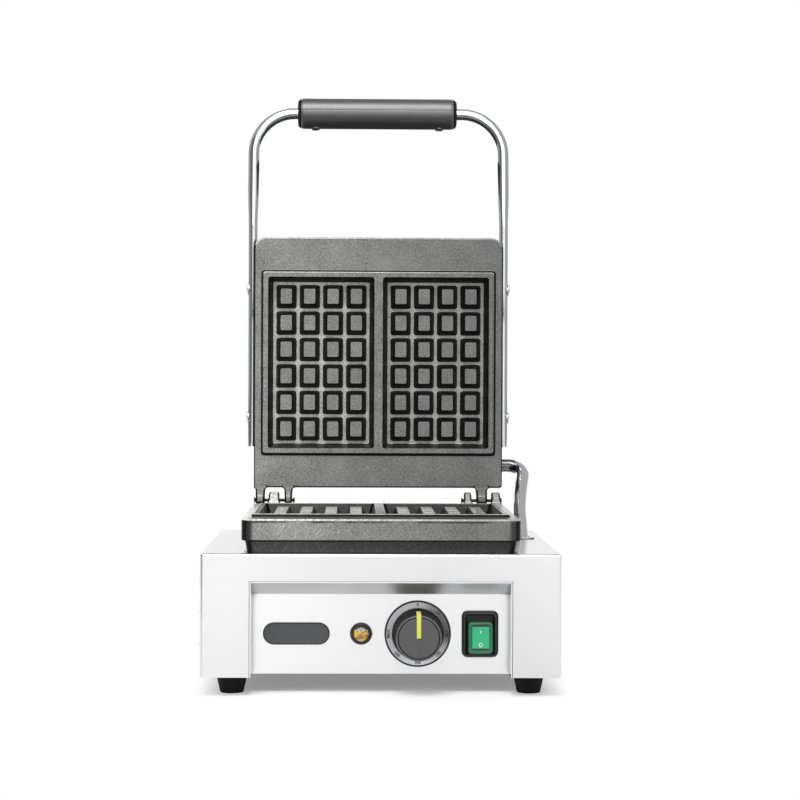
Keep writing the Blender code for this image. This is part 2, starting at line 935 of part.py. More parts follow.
def add_lid_fittings(plate):
    """Pads and threaded holes for the handle, and the hole for the conduit's bush."""
    pads, holes = [], []
    for side in (-1, 1):
        for distance in (handle_bolt_far, handle_bolt_near):
            inner = half_plate - skirt_inset_bottom - casting_wall / 2
            outer = arm_x - arm_width / 2 - gap
            place = Matrix.Translation((0, -distance, -handle_back))
            turned = place @ Matrix.Rotation(side * math.pi / 2, 4, "Y")
            pad = rod_mesh(pad_radius - 2 * gap, inner, outer)
            pad.transform(turned)
            pads.append(pad)
            hole = rod_mesh(handle_bolt_radius + gap, inner - 2 * casting_wall, outer + overrun)
            hole.transform(turned)
            holes.append(hole)
    join(plate, "handle_pads", merged(pads))
    cut(plate, "handle_holes", merged(holes))
    bush = rod_mesh(
        conduit_radius + bush_clearance + bush_wall + gap,
        half_plate - 4 * casting_wall,
        half_plate + overrun,
    )
    cut(
        plate,
        "bush_hole",
        bush,
        place=(0, -conduit_from_hinge, -conduit_back),
        turn=(0, math.radians(-90), 0),
        solver="MANIFOLD",
    )


def element_route():
    """The heater's route in plan: two long hairpins and the run that joins them."""
    front = -plate_front + element_front_margin
    rear = -plate_rear - element_rear_margin
    bend = (element_outer_x - element_inner_x) / 2
    stops = (
        (-element_outer_x + bend, front + bend, 180, 360),
        (0, rear - element_inner_x, 180, 0),
        (element_outer_x - bend, front + bend, 180, 360),
    )
    radii = (bend, element_inner_x, bend)
    route = [(-element_outer_x, rear)]
    for (x, y, start, end), radius in zip(stops, radii):
        for step in range(element_bend_steps + 1):
            angle = math.radians(start + (end - start) * step / element_bend_steps)
            route.append((x + radius * math.cos(angle), y + radius * math.sin(angle)))
    route.append((element_outer_x, rear))
    return route


def tube_curve(name, points, radius, parent, looks, resolution=2):
    """A solid tube as a curve with a bevel and filled caps."""
    curve = bpy.data.curves.new(name, "CURVE")
    curve.dimensions = "3D"
    curve.bevel_depth = radius
    curve.bevel_resolution = resolution
    curve.use_fill_caps = True
    spline = curve.splines.new("POLY")
    spline.points.add(len(points) - 1)
    for spot, point in zip(spline.points, points):
        spot.co = (*point, 1)
    curve.materials.append(looks)
    made = bpy.data.objects.new(name, curve)
    bpy.context.scene.collection.objects.link(made)
    made.parent = parent
    return made


def make_heater(prefix, parent, up, materials):
    """Element, clamp plate, insulation and cover, at their levels behind the mating face."""
    steel, element_steel, wool = materials
    level = up * element_level
    points = [(x, y, level) for x, y in element_route()]
    tube_curve(f"{prefix}_element", points, element_radius, parent, element_steel)

    def slab(name, outline, near, far, looks):
        ends = sorted((up * near, up * far))
        return mesh_object(name, prism_mesh(outline, *ends), parent, looks)

    clamp = rounded_outline(
        element_outer_x + clamp_edge,
        (plate_length - element_front_margin - element_rear_margin) / 2,
        clamp_edge,
    )
    middle = -(plate_front - element_front_margin + plate_rear + element_rear_margin) / 2
    clamp = [(x, y + middle) for x, y in clamp]
    slab(f"{prefix}_clamp_plate", clamp, clamp_level, clamp_level + clamp_thickness, steel)
    wall = skirt_inset_bottom + casting_wall + insulation_inset
    pad = plate_outline(wall + insulation_inset / 2, pocket_corner * 2, pocket_corner)
    slab(f"{prefix}_insulation", pad, insulation_level, casting_depth, wool)
    return slab


def strap_outline():
    """The front view of a strap whose ends are joggled up to the base top."""
    under = hinge_height - cover_outside - gap
    high = base_top - sheet - gap
    foot = half_plate + bracket_joggle
    upper = [
        (-bracket_half_length, high),
        (-foot, high),
        (-foot + bracket_joggle / 2, under),
        (foot - bracket_joggle / 2, under),
        (foot, high),
        (bracket_half_length, high),
    ]
    lower = [(x, z - bracket_thickness) for x, z in upper]
    lower[1] = (-foot - gap, lower[1][1])
    lower[4] = (foot + gap, lower[4][1])
    return upper[::-1] + lower


def make_lower_plate(machine, axis, looks):
    """The base's casting with its heater, heat shield and straps."""
    iron, steel, element_steel, wool = looks
    make_casting("lower_plate", axis, (0, 0, 0), iron, for_lid=False)
    slab = make_heater("lower", axis, -1, (steel, element_steel, wool))
    outline = plate_outline(skirt_inset_bottom + 2 * gap)
    shield = slab("lower_heat_shield", outline, cover_level, cover_outside, steel)
    for name in ("lower_heat_shield", "lower_insulation"):
        cut(
            bpy.data.objects[name],
            "capillary_hole",
            rod_mesh(capillary_hole, -cover_outside - overrun, -element_level),
            place=(dial_x, bulb_y - hinge_from_front, 0),
        )
    straps = (
        ("front", hinge_from_front - plate_front + skirt_inset_bottom + bracket_front_edge),
        ("rear", hinge_from_front - plate_rear - skirt_inset_bottom - bracket_rear_edge),
    )
    for name, y in straps:
        mesh_object(
            f"plate_bracket_{name}",
            prism_mesh(strap_outline(), y - bracket_width / 2, y + bracket_width / 2, "y"),
            machine,
            steel,
        )
    return shield


def make_lid(lid, looks):
    """The lid's casting with its heater, cover and cover screws."""
    iron, steel, element_steel, wool, zinc = looks
    plate = make_casting("upper_plate", lid, upside_down, iron, for_lid=True)
    slab = make_heater("upper", lid, 1, (steel, element_steel, wool))
    outline = plate_outline(skirt_inset_bottom - cover_lip)
    cover = slab("lid_cover", outline, cover_level, cover_outside, steel)
    screw_inset = skirt_inset_bottom + cover_screw_inset
    spots = [
        (side * (half_plate - screw_inset), y)
        for side in (-1, 1)
        for y in (screw_inset - plate_front, -plate_rear - cover_screw_from_rear)
    ]
    bosses, holes = [], []
    for x, y in spots:
        boss = rod_mesh(casting_wall, web_back - gap, casting_depth)
        boss.transform(Matrix.Translation((-x, y, 0)) @ Matrix.Rotation(math.pi, 4, "X"))
        bosses.append(boss)
        hole = rod_mesh(
            foot_screw_radius + gap,
            cover_level - cover_screw_reach - overrun,
            cover_outside + overrun,
        )
        hole.transform(Matrix.Translation((x, y, 0)))
        holes.append(hole)
    join(plate, "screw_bosses", merged(bosses), solver="MANIFOLD")
    turned_holes = merged(holes)
    copy = turned_holes.copy()
    copy.transform(Matrix.Rotation(math.pi, 4, "Y"))
    cut(plate, "screw_holes", copy, solver="MANIFOLD")
    cut(cover, "screw_holes", turned_holes)
    head = cover_outside + gap
    screw = [
        (0, cover_level - cover_screw_reach),
        (foot_screw_radius, cover_level - cover_screw_reach),
        (foot_screw_radius, head),
        (foot_screw_head_radius, head),
    ]
    for across, up in cover_screw_dome_shares:
        screw.append((foot_screw_head_radius * across, head + foot_screw_head * up))
    for number, (x, y) in enumerate(spots, 1):
        smooth(
            mesh_object(
                f"lid_cover_screw_{number}", turned_mesh(screw, small_sides), lid, zinc, (x, y, 0)
            )
        )
    return plate


def make_pins(lower_axis, lid, steel):
    """The right pin sits in the base's lugs and the left pin in the lid's."""
    length = outer_lug[1] - inner_lug[0] + pin_overhang
    profile = [
        (0, inner_lug[0] - pin_overhang),
        (pin_radius, inner_lug[0] - pin_overhang),
        (pin_radius, outer_lug[1] + gap),
        (pin_head_radius, outer_lug[1] + gap),
        (pin_head_radius, inner_lug[0] - pin_overhang + length + pin_head_length),
        (0, inner_lug[0] - pin_overhang + length + pin_head_length),
    ]
    right = mesh_object(
        "hinge_pin_right", turned_mesh(profile, small_sides), lower_axis, steel, turn=facing_right
    )
    left = mesh_object(
        "hinge_pin_left",
        turned_mesh(profile, small_sides),
        lid,
        steel,
        turn=(0, math.radians(-90), 0),
    )
    return smooth(right), smooth(left)


def handle_point(across, along):
    """A point of the handle's middle line from its place across and its distance from the hinge."""
    if along <= lean_start:
        return (across, -along, handle_back)
    turned = min((along - lean_start) / lean_radius, handle_lean)
    straight = max(along - lean_start - lean_radius * handle_lean, 0)
    y = lean_radius * math.sin(turned) + straight * math.cos(handle_lean)
    z = lean_radius * (1 - math.cos(turned)) + straight * math.sin(handle_lean)
    return (across, -lean_start - y, handle_back + z)


def handle_length():
    """The distance along the leaning plane from the hinge to the grip's middle line."""
    return lean_start + lean_radius * handle_lean + grip_slope / math.cos(handle_lean)


def handle_route():
    """The middle line of the U-shaped handle tube, from left end to right end."""
    top = handle_length()
    corner = top - handle_corner
    stops = [arm_end, handle_bolt_near, handle_bolt_far, lean_start]
    arc = lean_radius * handle_lean
    stops += [lean_start + arc * (i + 1) / lean_steps for i in range(lean_steps)]
    half = [(arm_x, along) for along in stops]
    for step in range(handle_corner_steps + 1):
        angle = math.pi / 2 * step / handle_corner_steps
        half.append(
            (
                arm_x - handle_corner + handle_corner * math.cos(angle),
                corner + handle_corner * math.sin(angle),
            )
        )
    left = [handle_point(-across, along) for across, along in half]
    right = [handle_point(across, along) for across, along in half[::-1]]
    return left + right


def arm_flattening(point):
    """The share of the round width that the pressed arms keep."""
    flat_share = arm_width / (2 * tube_radius)
    past = -point.y - lean_start
    span = handle_corner
    mix = min(max(past / span, 0), 1)
    return flat_share + (1 - flat_share) * mix


def make_handle(lid, chrome, black, zinc):
    """The U-shaped tube, its four domed bolts and the two halves of the grip."""
    route = handle_route()
    mesh = swept_mesh(route, tube_radius, tube_sides, tube_radius - tube_wall, arm_flattening)
    tube = smooth(mesh_object("handle_tube", mesh, lid, chrome))
    holes = []
    for distance in (handle_bolt_far, handle_bolt_near):
        for side in (-1, 1):
            hole = rod_mesh(handle_bolt_radius + gap, arm_x - arm_width, arm_x + arm_width)
            hole.transform(
                Matrix.Translation((0, -distance, handle_back))
                @ Matrix.Rotation(side * math.pi / 2, 4, "Y")
            )
            holes.append(hole)
    cut(tube, "bolt_holes", merged(holes))
    head = arm_outer + gap
    bolt = [
        (0, arm_x - arm_width / 2 - handle_bolt_reach),
        (handle_bolt_radius, arm_x - arm_width / 2 - handle_bolt_reach),
        (handle_bolt_radius, head),
        (handle_bolt_head_radius, head),
    ]
    for across, up in handle_bolt_dome_shares:
        bolt.append((handle_bolt_head_radius * across, head + handle_bolt_head * up))
    for end, distance in (("upper", handle_bolt_far), ("lower", handle_bolt_near)):
        for side, sign in (("left", -1), ("right", 1)):
            made = mesh_object(
                f"handle_bolt_{end}_{side}",
                turned_mesh(bolt, small_sides),
                lid,
                zinc,
                place=(0, -distance, handle_back),
                turn=(0, sign * math.pi / 2, 0),
            )
            smooth(made)
    make_grip(lid, tube, black, zinc)


def make_grip(lid, tube, black, zinc):
    """Two half shells on the tube, screwed together from the side that faces the plates."""
    centre = handle_point(0, handle_length())
    # In this frame +Z points away from the hinge and the seam lies in the XY plane.
    frame = empty("grip_frame", centre, lid, math.pi / 2 - handle_lean)
    end = grip_length / 2
    shallow = grip_end_round * grip_round_share
    rounding = [
        (0, end),
        (grip_radius - grip_end_round, end),
        (grip_radius - shallow, end - shallow),
        (grip_radius, end - grip_end_round),
    ]
    profile = [(radius, -height) for radius, height in rounding] + rounding[::-1]
    reach = grip_radius + grip_boss_out + overrun
    for name, away in (("grip_outer_half", 1), ("grip_inner_half", -1)):
        whole = turned_mesh(profile, round_sides)
        whole.transform(Matrix.Rotation(math.pi / 2, 4, "Y"))
        half = smooth(mesh_object(name, whole, frame, black))
        if away < 0:
            bosses = [
                rod_mesh(grip_boss_radius, tube_radius + tube_wall, grip_radius + grip_boss_out)
                for _ in range(2)
            ]
            for boss, x in zip(bosses, (-grip_screw_x, grip_screw_x)):
                boss.transform(Matrix.Translation((x, 0, 0)) @ Matrix.Rotation(math.pi, 4, "X"))
            join(half, "bosses", merged(bosses))
        seam = sorted((-away * reach, away * gap / 2))
        cut(
            half,
            "other_half",
            box_mesh((-end - overrun, -reach, seam[0]), (end + overrun, reach, seam[1])),
        )
        channel = rod_mesh(tube_radius + gap, -end - overrun, end + overrun, small_sides)
        cut(half, "tube_channel", channel, turn=facing_right)
        holes = []
        for x in (-grip_screw_x, grip_screw_x):
            if away < 0:
                shank = rod_mesh(grip_screw_radius + gap, -reach, 0)
                well = rod_mesh(
                    grip_screw_head_radius + gap, -reach, -grip_radius - grip_boss_out + grip_screw_well
                )
            else:
                shank = rod_mesh(grip_screw_radius + gap, -overrun, tube_radius + grip_screw_reach)
                well = None
            for hole in (shank, well):
                if hole:
                    hole.transform(Matrix.Translation((x, 0, 0)))
                    holes.append(hole)
        for number, hole in enumerate(holes):
            cut(half, f"screw_hole_{number}", hole, solver="MANIFOLD")
    tube_holes = []
    for x in (-grip_screw_x, grip_screw_x):
        hole = rod_mesh(grip_screw_radius + 2 * gap, -tube_radius - overrun, tube_radius + overrun)
        hole.transform(frame_matrix(centre) @ Matrix.Translation((x, 0, 0)))
        tube_holes.append(hole)
    cut(tube, "screw_holes", merged(tube_holes))
    head = -grip_radius - grip_boss_out + grip_screw_well - gap
    tip = tube_radius + grip_screw_reach - gap
    screw = [
        (0, head - grip_screw_head),
        (grip_screw_head_radius, head - grip_screw_head),
        (grip_screw_head_radius, head),
        (grip_screw_radius, head),
        (grip_screw_radius, tip),
        (0, tip),
    ]
    for side, x in (("left", -grip_screw_x), ("right", grip_screw_x)):
        smooth(
            mesh_object(
                f"grip_screw_{side}", turned_mesh(screw, small_sides), frame, zinc, (x, 0, 0)
            )
        )


def frame_matrix(centre):
    """The grip frame's matrix in the lid's frame."""
    return Matrix.Translation(centre) @ Matrix.Rotation(math.pi / 2 - handle_lean, 4, "X")


def conduit_route():
    """The conduit's middle line: out of the lid along its pivot, round a bend and down the leg."""
    turn_x = conduit_shoulder - conduit_bend
    route = [(conduit_inner_end, 0)]
    for step in range(conduit_bend_steps + 1):
        angle = math.pi / 2 * step / conduit_bend_steps
        route.append(
            (
                turn_x + conduit_bend * math.sin(angle),
                conduit_bend * (1 - math.cos(angle)),
            )
        )
    span = conduit_sway_end - conduit_sway_start
    for step in range(conduit_sway_steps + 1):
        share = step / conduit_sway_steps
        eased = share * share * (3 - 2 * share)
        x = conduit_shoulder + (conduit_leg - conduit_shoulder) * eased
        route.append((x, conduit_sway_start + span * share))
    route.append((conduit_leg, conduit_reach + conduit_tail))
    return [(x, 0, -down) for x, down in route]


def make_conduit(machine, pivot, lid, steel, zinc):
    """The swivelling tube, its bush in the lid and the oval washer on the base."""
    tube = swept_mesh(conduit_route(), conduit_radius, conduit_sides, conduit_radius - conduit_wall)
    smooth(mesh_object("conduit_tube", tube, pivot, steel), math.radians(50))
    inner = conduit_radius + bush_clearance
    outer = inner + bush_wall
    wall = half_plate - skirt_inset_bottom
    profile = [
        (inner, wall - casting_wall),
        (outer, wall - casting_wall),
        (outer, half_plate),
        (inner, half_plate),
    ]
    smooth(
        mesh_object(
            "conduit_bush",
            turned_mesh(profile, round_sides, bored=True),
            lid,
            zinc,
            place=(0, -conduit_from_hinge, conduit_back),
            turn=facing_right,
        )
    )
    level = base_top + gap
    outside = rounded_outline(
        slot_half_width + washer_border,
        slot_half_length + washer_border,
        slot_half_width + washer_border - gap,
    )
    washer = mesh_object(
        "conduit_washer",
        prism_mesh(outside, level, level + washer_thickness),
        machine,
        zinc,
        place=(conduit_leg, conduit_entry, 0),
    )
    slot = rounded_outline(slot_half_width, slot_half_length, slot_half_width - gap)
    cut(washer, "slot", prism_mesh(slot, level - overrun, level + washer_thickness + overrun))


def make_control(machine, knob_axis, looks):
    """Dial ring, thermostat, its shaft, and the knob with its pointer."""
    brushed, black, yellow, steel, zinc = looks
    place = (dial_x, panel_face, control_height)
    ring = [
        (dial_hole, gap),
        (dial_radius, gap),
        (dial_radius, gap + dial_thickness),
        (dial_hole, gap + dial_thickness),
    ]
    smooth(
        mesh_object(
            "dial_ring", turned_mesh(ring, fine_sides, bored=True), machine, brushed, place, facing_user
        )
    )
    side_slope = (knob_radius - knob_face_radius) / knob_length
    face = knob_face
    shoulder = face - knob_shoulder / 2
    knob = [
        (shaft_radius + gap, knob_back),
        (knob_hub_radius, knob_back),
        (knob_hub_radius, face - knob_shoulder),
        (knob_radius - knob_wall - side_slope * knob_length, face - knob_shoulder),
        (knob_radius - knob_wall, knob_back),
        (knob_radius, knob_back),
        (knob_radius - side_slope * (shoulder - knob_back), shoulder),
        (knob_face_radius - knob_wall / 4, face - knob_wall / 4),
        (knob_face_radius - knob_wall, face),
        (0, face),
        (0, knob_back + shaft_into_knob + gap),
        (shaft_radius + gap, knob_back + shaft_into_knob + gap),
    ]
    turned = smooth(
        mesh_object("control_knob", turned_mesh(knob, fine_sides, bored=True), knob_axis, black)
    )
    turned.rotation_euler = facing_user
    top = knob_face_radius - knob_wall - pointer_face_reach
    half = pointer_width / 2
    pointer_outline = rounded_outline(half, top / 2, half - gap)
    pointer = mesh_object(
        "knob_pointer",
        prism_mesh(pointer_outline, face + gap, face + gap + pointer_height),
        knob_axis,
        yellow,
        turn=facing_user,
    )
    # The pointer's middle lies half its length above the knob's axis.
    pointer.location = (0, 0, top / 2)
    body_front = sheet + gap
    width, depth, height = thermostat_size
    thermostat = mesh_object(
        "thermostat_body",
        box_mesh(
            (dial_x - width / 2, panel_face + body_front, control_height - height / 2),
            (dial_x + width / 2, panel_face + body_front + depth, control_height + height / 2),
        ),
        machine,
        steel,
    )
    cut(
        thermostat,
        "shaft_bore",
        rod_mesh(shaft_radius + shaft_clearance, -body_front - thermostat_bore, 0),
        place=place,
        turn=facing_user,
    )
    shaft = rod_mesh(
        shaft_radius, -body_front - thermostat_bore + gap, knob_back + shaft_into_knob, small_sides
    )
    made = smooth(mesh_object("thermostat_shaft", shaft, knob_axis, zinc))
    made.rotation_euler = facing_user


def make_capillary(machine, steel):
    """The sensing tube from the thermostat up to its bulb beside the element."""
    width, depth, height = thermostat_size
    start = (
        dial_x,
        panel_face + sheet + gap + depth / 2,
        control_height + height / 2 + gap,
    )
    level = hinge_height - web_back - gap - bulb_radius
    low = start[2] + capillary_lead
    high = hinge_height - cover_outside - capillary_lead
    rise = [start, (dial_x, start[1], low)]
    for step in range(1, capillary_steps + 1):
        share = step / capillary_steps
        eased = share * share * (3 - 2 * share)
        rise.append((dial_x, start[1] + (bulb_y - start[1]) * eased, low + (high - low) * share))
    bend = capillary_bend
    for step in range(capillary_bend_steps + 1):
        angle = math.pi / 2 * step / capillary_bend_steps
        x = dial_x + bend * (1 - math.cos(angle))
        rise.append((x, bulb_y, level - bend + bend * math.sin(angle)))
    rise.append((dial_x + 2 * bend, bulb_y, level))
    route = swept_mesh(rise, capillary_radius, capillary_sides)
    tube = mesh_object("thermostat_capillary", route, machine, steel)
    near = 2 * bend - capillary_radius
    bulb = rod_mesh(bulb_radius, near, near + capillary_radius + bulb_length, small_sides)
    join(tube, "bulb", bulb, place=(dial_x, bulb_y, level), turn=facing_right)
    return tube


def make_lamp(machine, black, amber, steel):
    """Indicator lamp: a black bezel, an amber lens and the body behind the panel."""
    place = (lamp_x, panel_face, control_height)
    seat = lamp_bezel_height - lamp_lens_seat
    bezel = [
        (lamp_lead_hole, gap),
        (lamp_radius, gap),
        (lamp_radius, lamp_bezel_edge),
        (lamp_radius - lamp_lens_seat, lamp_bezel_height),
        (lamp_lens_radius + gap, lamp_bezel_height),
        (lamp_lens_radius + gap, seat),
        (lamp_lead_hole, seat),
    ]
    smooth(
        mesh_object(
            "lamp_bezel", turned_mesh(bezel, round_sides, bored=True), machine, black, place, facing_user
        )
    )
    lens = [(0, seat + gap), (lamp_lens_radius, seat + gap)]
    for across, up in lamp_lens_dome_shares:
        rise = (lamp_lens_height - lamp_bezel_height) * up
        lens.append((lamp_lens_radius * across, lamp_bezel_height + rise))
    smooth(
        mesh_object("lamp_lens", turned_mesh(lens, round_sides), machine, amber, place, facing_user)
    )
    body = rod_mesh(lamp_body_radius, -lamp_body_length, 0, round_sides)
    smooth(mesh_object("lamp_body", body, machine, steel, place, facing_user))


def make_switch(machine, rocker_axis, black, green):
    """Rocker switch: frame and body in one, and the rocker on its pivot."""
    place = (switch_x, panel_face, control_height)
    out = switch_frame_out
    wide = rounded_outline(switch_width / 2, switch_height / 2, switch_corner)
    narrow = rounded_outline(
        switch_width / 2 - switch_lip,
        switch_height / 2 - switch_lip,
        switch_corner - switch_lip,
    )
    frame = loft_mesh([(wide, gap), (wide, out - switch_lip), (narrow, out)])
    holder = mesh_object("switch_frame", frame, machine, black, place, facing_user)
    body = rounded_outline(switch_body_width / 2, switch_body_height / 2, switch_lip)
    join(holder, "body", prism_mesh(body, -switch_body_length, out - 2 * switch_lip))
    well_x = rocker_width / 2 + rocker_clearance
    well_y = rocker_height / 2 + rocker_clearance
    well = rounded_outline(well_x, well_y, rocker_corner)
    cut(holder, "well", prism_mesh(well, -rocker_depth - rocker_well_extra, out + overrun))
    half_x, half_y = rocker_width / 2, rocker_height / 2
    # Beside the pivot the rocker is a block; its face stands out and its lower end is the raised one.
    face_y = half_y - rocker_clearance
    edge = rocker_corner / 2
    low = rounded_outline(half_x, half_y - rocker_corner, rocker_corner)
    wide = rounded_outline(half_x, face_y, rocker_corner)
    face = rounded_outline(half_x - edge, face_y - edge, edge)
    top = rocker_pivot_depth + rocker_out
    rocker = loft_mesh(
        [
            (low, rocker_pivot_depth - rocker_depth),
            (wide, rocker_pivot_depth),
            (wide, top - edge),
            (face, top),
        ]
    )
    made = mesh_object("switch_rocker", rocker, rocker_axis, green)
    made.rotation_euler = (math.radians(90) - rocker_tilt, 0, 0)


def make_badge(machine, grey):
    """The bare plate in the badge's place, with round ends."""
    half = badge_height / 2
    outline = rounded_outline(badge_width / 2, half, half - gap, badge_end_steps)
    mesh_object(
        "badge_plate",
        prism_mesh(outline, gap, gap + badge_thickness),
        machine,
        grey,
        (badge_x, panel_face, control_height),
        facing_user,
    )


def make_mains_entry(machine, black, plastic):
    """The empty gland in the rear panel, its nut and the terminal block."""
    rear = base_depth - gap
    place = (gland_x, rear, gland_height)
    away = (math.radians(-90), 0, 0)
    gland = [
        (gland_bore, -sheet - gland_in),
        (gland_thread_radius, -sheet - gland_in),
        (gland_thread_radius, gap),
        (gland_radius, gap),
        (gland_radius, gland_out * gland_shoulder_share),
        (gland_radius * gland_mouth_share, gland_out + gap),
        (gland_bore, gland_out + gap),
    ]
    smooth(
        mesh_object(
            "cord_gland", turned_mesh(gland, round_sides, bored=True), machine, black, place, away
        )
    )
    near, far = -sheet - gap - gland_nut, -sheet - gap
    outline = [(0, near), (gland_nut_radius, near), (gland_nut_radius, far), (0, far)]
    hexagon = turned_mesh(outline, gland_nut_sides)
    nut = mesh_object("gland_nut", hexagon, machine, black, place, away)
    thread = rod_mesh(gland_thread_radius + gap, near - overrun, far + overrun, round_sides)
    cut(nut, "thread", thread)
    width, depth, height = terminal_size
    floor = base_bottom + sheet + gap
    y = base_depth - terminal_from_rear
    low = (terminal_x - width / 2, y - depth / 2, floor)
    high = (terminal_x + width / 2, y + depth / 2, floor + height)
    mesh_object("terminal_block", box_mesh(low, high), machine, plastic)


def main():
    for old in list(bpy.data.objects):
        bpy.data.objects.remove(old)
    steel = material("polished stainless steel", "D9DADC", 0.22, 1.0)
    panel_steel = material("satin stainless panel", "E4E5E7", 0.35, 1.0)
    iron = material("dark cast iron", "3B3B3C", 0.55, 0.3)
    chrome = material("chromed tube", "C8C9CC", 0.08, 1.0)
    zinc = material("bright zinc", "B5B7BA", 0.3, 1.0)
    brushed = material("brushed dial", "BDBEC0", 0.35, 1.0)
    black = material("black bakelite", "1B1B1C", 0.4)
    rubber = material("black rubber foot", "1E1E1F", 0.7)
    yellow = material("yellow pointer", "E3E44F", 0.5)
    green = material("green translucent rocker", "35C48F", 0.35)
    amber = material("amber lens", "D09A34", 0.15)
    grey = material("grey badge plate", "55565A", 0.35, 0.8)
    wool = material("mineral wool", "C9C2A8", 0.95)
    heater = material("element sheath", "6A6660", 0.5, 0.8)
    plastic = material("white terminal plastic", "E6E4DC", 0.5)

    machine = empty("machine_frame", (0, -middle_y, 0))
    lower_axis = empty("lower_hinge_axis", (0, hinge_from_front, hinge_height), machine)
    lid = empty("lid_hinge_axis", (0, hinge_from_front, hinge_height), machine, -lid_open_angle)
    pivot = empty(
        "conduit_pivot_axis",
        (0, -conduit_from_hinge, conduit_back),
        lid,
        lid_open_angle - conduit_lean,
    )
    knob_axis = empty("knob_turning_axis", (dial_x, panel_face, control_height), machine)
    rocker_axis = empty(
        "rocker_pivot_axis", (switch_x, panel_face + rocker_pivot_depth, control_height), machine
    )
    make_housing(machine, steel)
    make_front_panel(machine, panel_steel)
    make_closing_sheets(machine, steel)
    make_feet(machine, rubber, zinc)
    make_lower_plate(machine, lower_axis, (iron, steel, heater, wool))
    make_lid(lid, (iron, steel, heater, wool, zinc))
    make_pins(lower_axis, lid, zinc)
    make_handle(lid, chrome, black, zinc)
    make_conduit(machine, pivot, lid, steel, zinc)
    make_control(machine, knob_axis, (brushed, black, yellow, plastic, zinc))
    make_capillary(machine, zinc)
    make_lamp(machine, black, amber, plastic)
    make_switch(machine, rocker_axis, black, green)
    make_badge(machine, grey)
    make_mains_entry(machine, black, plastic)
    print(f"middle_y {middle_y:.5f}, hinge height {hinge_height:.5f}")
    print(f"conduit lean {math.degrees(conduit_lean):.2f} degrees, base {base_width:.4f} wide")
    print(f"controls at x {badge_x:.4f}, {lamp_x:.4f}, {dial_x:.4f}, {switch_x:.4f}")
    print(f"control height {control_height:.4f}, dial radius {dial_radius:.4f}")


main()
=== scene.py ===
# %% [markdown]
# # A countertop iron for liege waffles, dressed for the camera
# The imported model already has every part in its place, in metres, with Z up and Y away from the user.
# This lesson gives those parts their real finishes, and swaps the plainest of them for finer pieces of the
# same size. Each step first says what the real thing is, then how it could be made, then why this way.

# %% Load the frame and note its size
import math

import bmesh
import bpy
from mathutils import Matrix, Vector


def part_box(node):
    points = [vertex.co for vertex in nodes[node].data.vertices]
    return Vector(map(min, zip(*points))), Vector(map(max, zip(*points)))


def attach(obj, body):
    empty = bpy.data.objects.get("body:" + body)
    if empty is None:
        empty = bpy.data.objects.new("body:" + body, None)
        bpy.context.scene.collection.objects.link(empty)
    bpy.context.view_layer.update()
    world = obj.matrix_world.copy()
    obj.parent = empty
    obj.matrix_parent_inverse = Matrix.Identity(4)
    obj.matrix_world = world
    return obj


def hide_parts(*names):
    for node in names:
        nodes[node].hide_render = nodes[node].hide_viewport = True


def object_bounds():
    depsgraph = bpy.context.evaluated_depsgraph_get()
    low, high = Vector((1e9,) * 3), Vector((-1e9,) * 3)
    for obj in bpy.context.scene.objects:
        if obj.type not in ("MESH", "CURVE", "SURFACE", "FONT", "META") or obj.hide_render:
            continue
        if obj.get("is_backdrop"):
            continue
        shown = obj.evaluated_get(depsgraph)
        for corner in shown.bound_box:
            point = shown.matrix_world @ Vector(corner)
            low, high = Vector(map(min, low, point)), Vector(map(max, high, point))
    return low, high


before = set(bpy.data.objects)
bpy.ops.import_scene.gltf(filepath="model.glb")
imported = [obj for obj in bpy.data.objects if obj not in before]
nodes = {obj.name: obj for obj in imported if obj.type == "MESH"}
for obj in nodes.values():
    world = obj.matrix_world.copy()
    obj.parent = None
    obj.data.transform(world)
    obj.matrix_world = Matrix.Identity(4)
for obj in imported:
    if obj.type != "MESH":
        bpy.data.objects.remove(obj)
cad_bounds = [list(corner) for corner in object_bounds()]
print("the frame measures", [round(1000 * (b - a), 1) for a, b in zip(*cad_bounds)], "mm")

# %% [markdown]
# ## The camera
# The photograph was taken from about two metres in front, a little above the controls and a hand's width
# to the left of the middle. A long lens at that distance shows how the depth lines draw together. The
# camera is built from its three directions, because that is the plainest way to give a small turn and a
# small roll. The picture is square, 800 pixels a side.

# %% Place the camera
picture_side = 800
focal_pixels = 2273.5
sensor_width = 36.0
camera_place = Vector((-0.0260, -2.0645, 0.2681))
camera_turn, camera_pitch, camera_roll = (math.radians(a) for a in (1.233, -0.530, 0.226))

level = math.cos(camera_pitch)
ahead = Vector(
    (math.sin(camera_turn) * level, math.cos(camera_turn) * level, math.sin(camera_pitch))
)
right = Vector((math.cos(camera_turn), -math.sin(camera_turn), 0))
above = right.cross(ahead)
rolled_right = right * math.cos(camera_roll) + above * math.sin(camera_roll)
rolled_above = above * math.cos(camera_roll) - right * math.sin(camera_roll)

lens = bpy.data.cameras.new("front_camera")
lens.sensor_width = sensor_width
lens.lens = focal_pixels / picture_side * sensor_width
lens.clip_end = 50
camera = bpy.data.objects.new("front_camera", lens)
bpy.context.scene.collection.objects.link(camera)
axes = Matrix((rolled_right, rolled_above, -ahead)).transposed()
camera.matrix_world = Matrix.Translation(camera_place) @ axes.to_4x4()
bpy.context.scene.camera = camera
print("lens", round(lens.lens, 1), "mm at", [round(v, 3) for v in camera_place])

# %% [markdown]
# ## Colours and nodes
# Colours are written as the sRGB values that a picture shows, but rendering works in linear light, so one
# function turns the one into the other. Another adds a node, with its settings, values and links. All the
# kinds of nodes used here start with ShaderNode, so only the rest is written. Sockets can be filled by name
# or in their own order. Two orders come back all the time: a Map Range takes a value, the range it comes
# from and the range it goes to, and a Math node takes its two numbers.

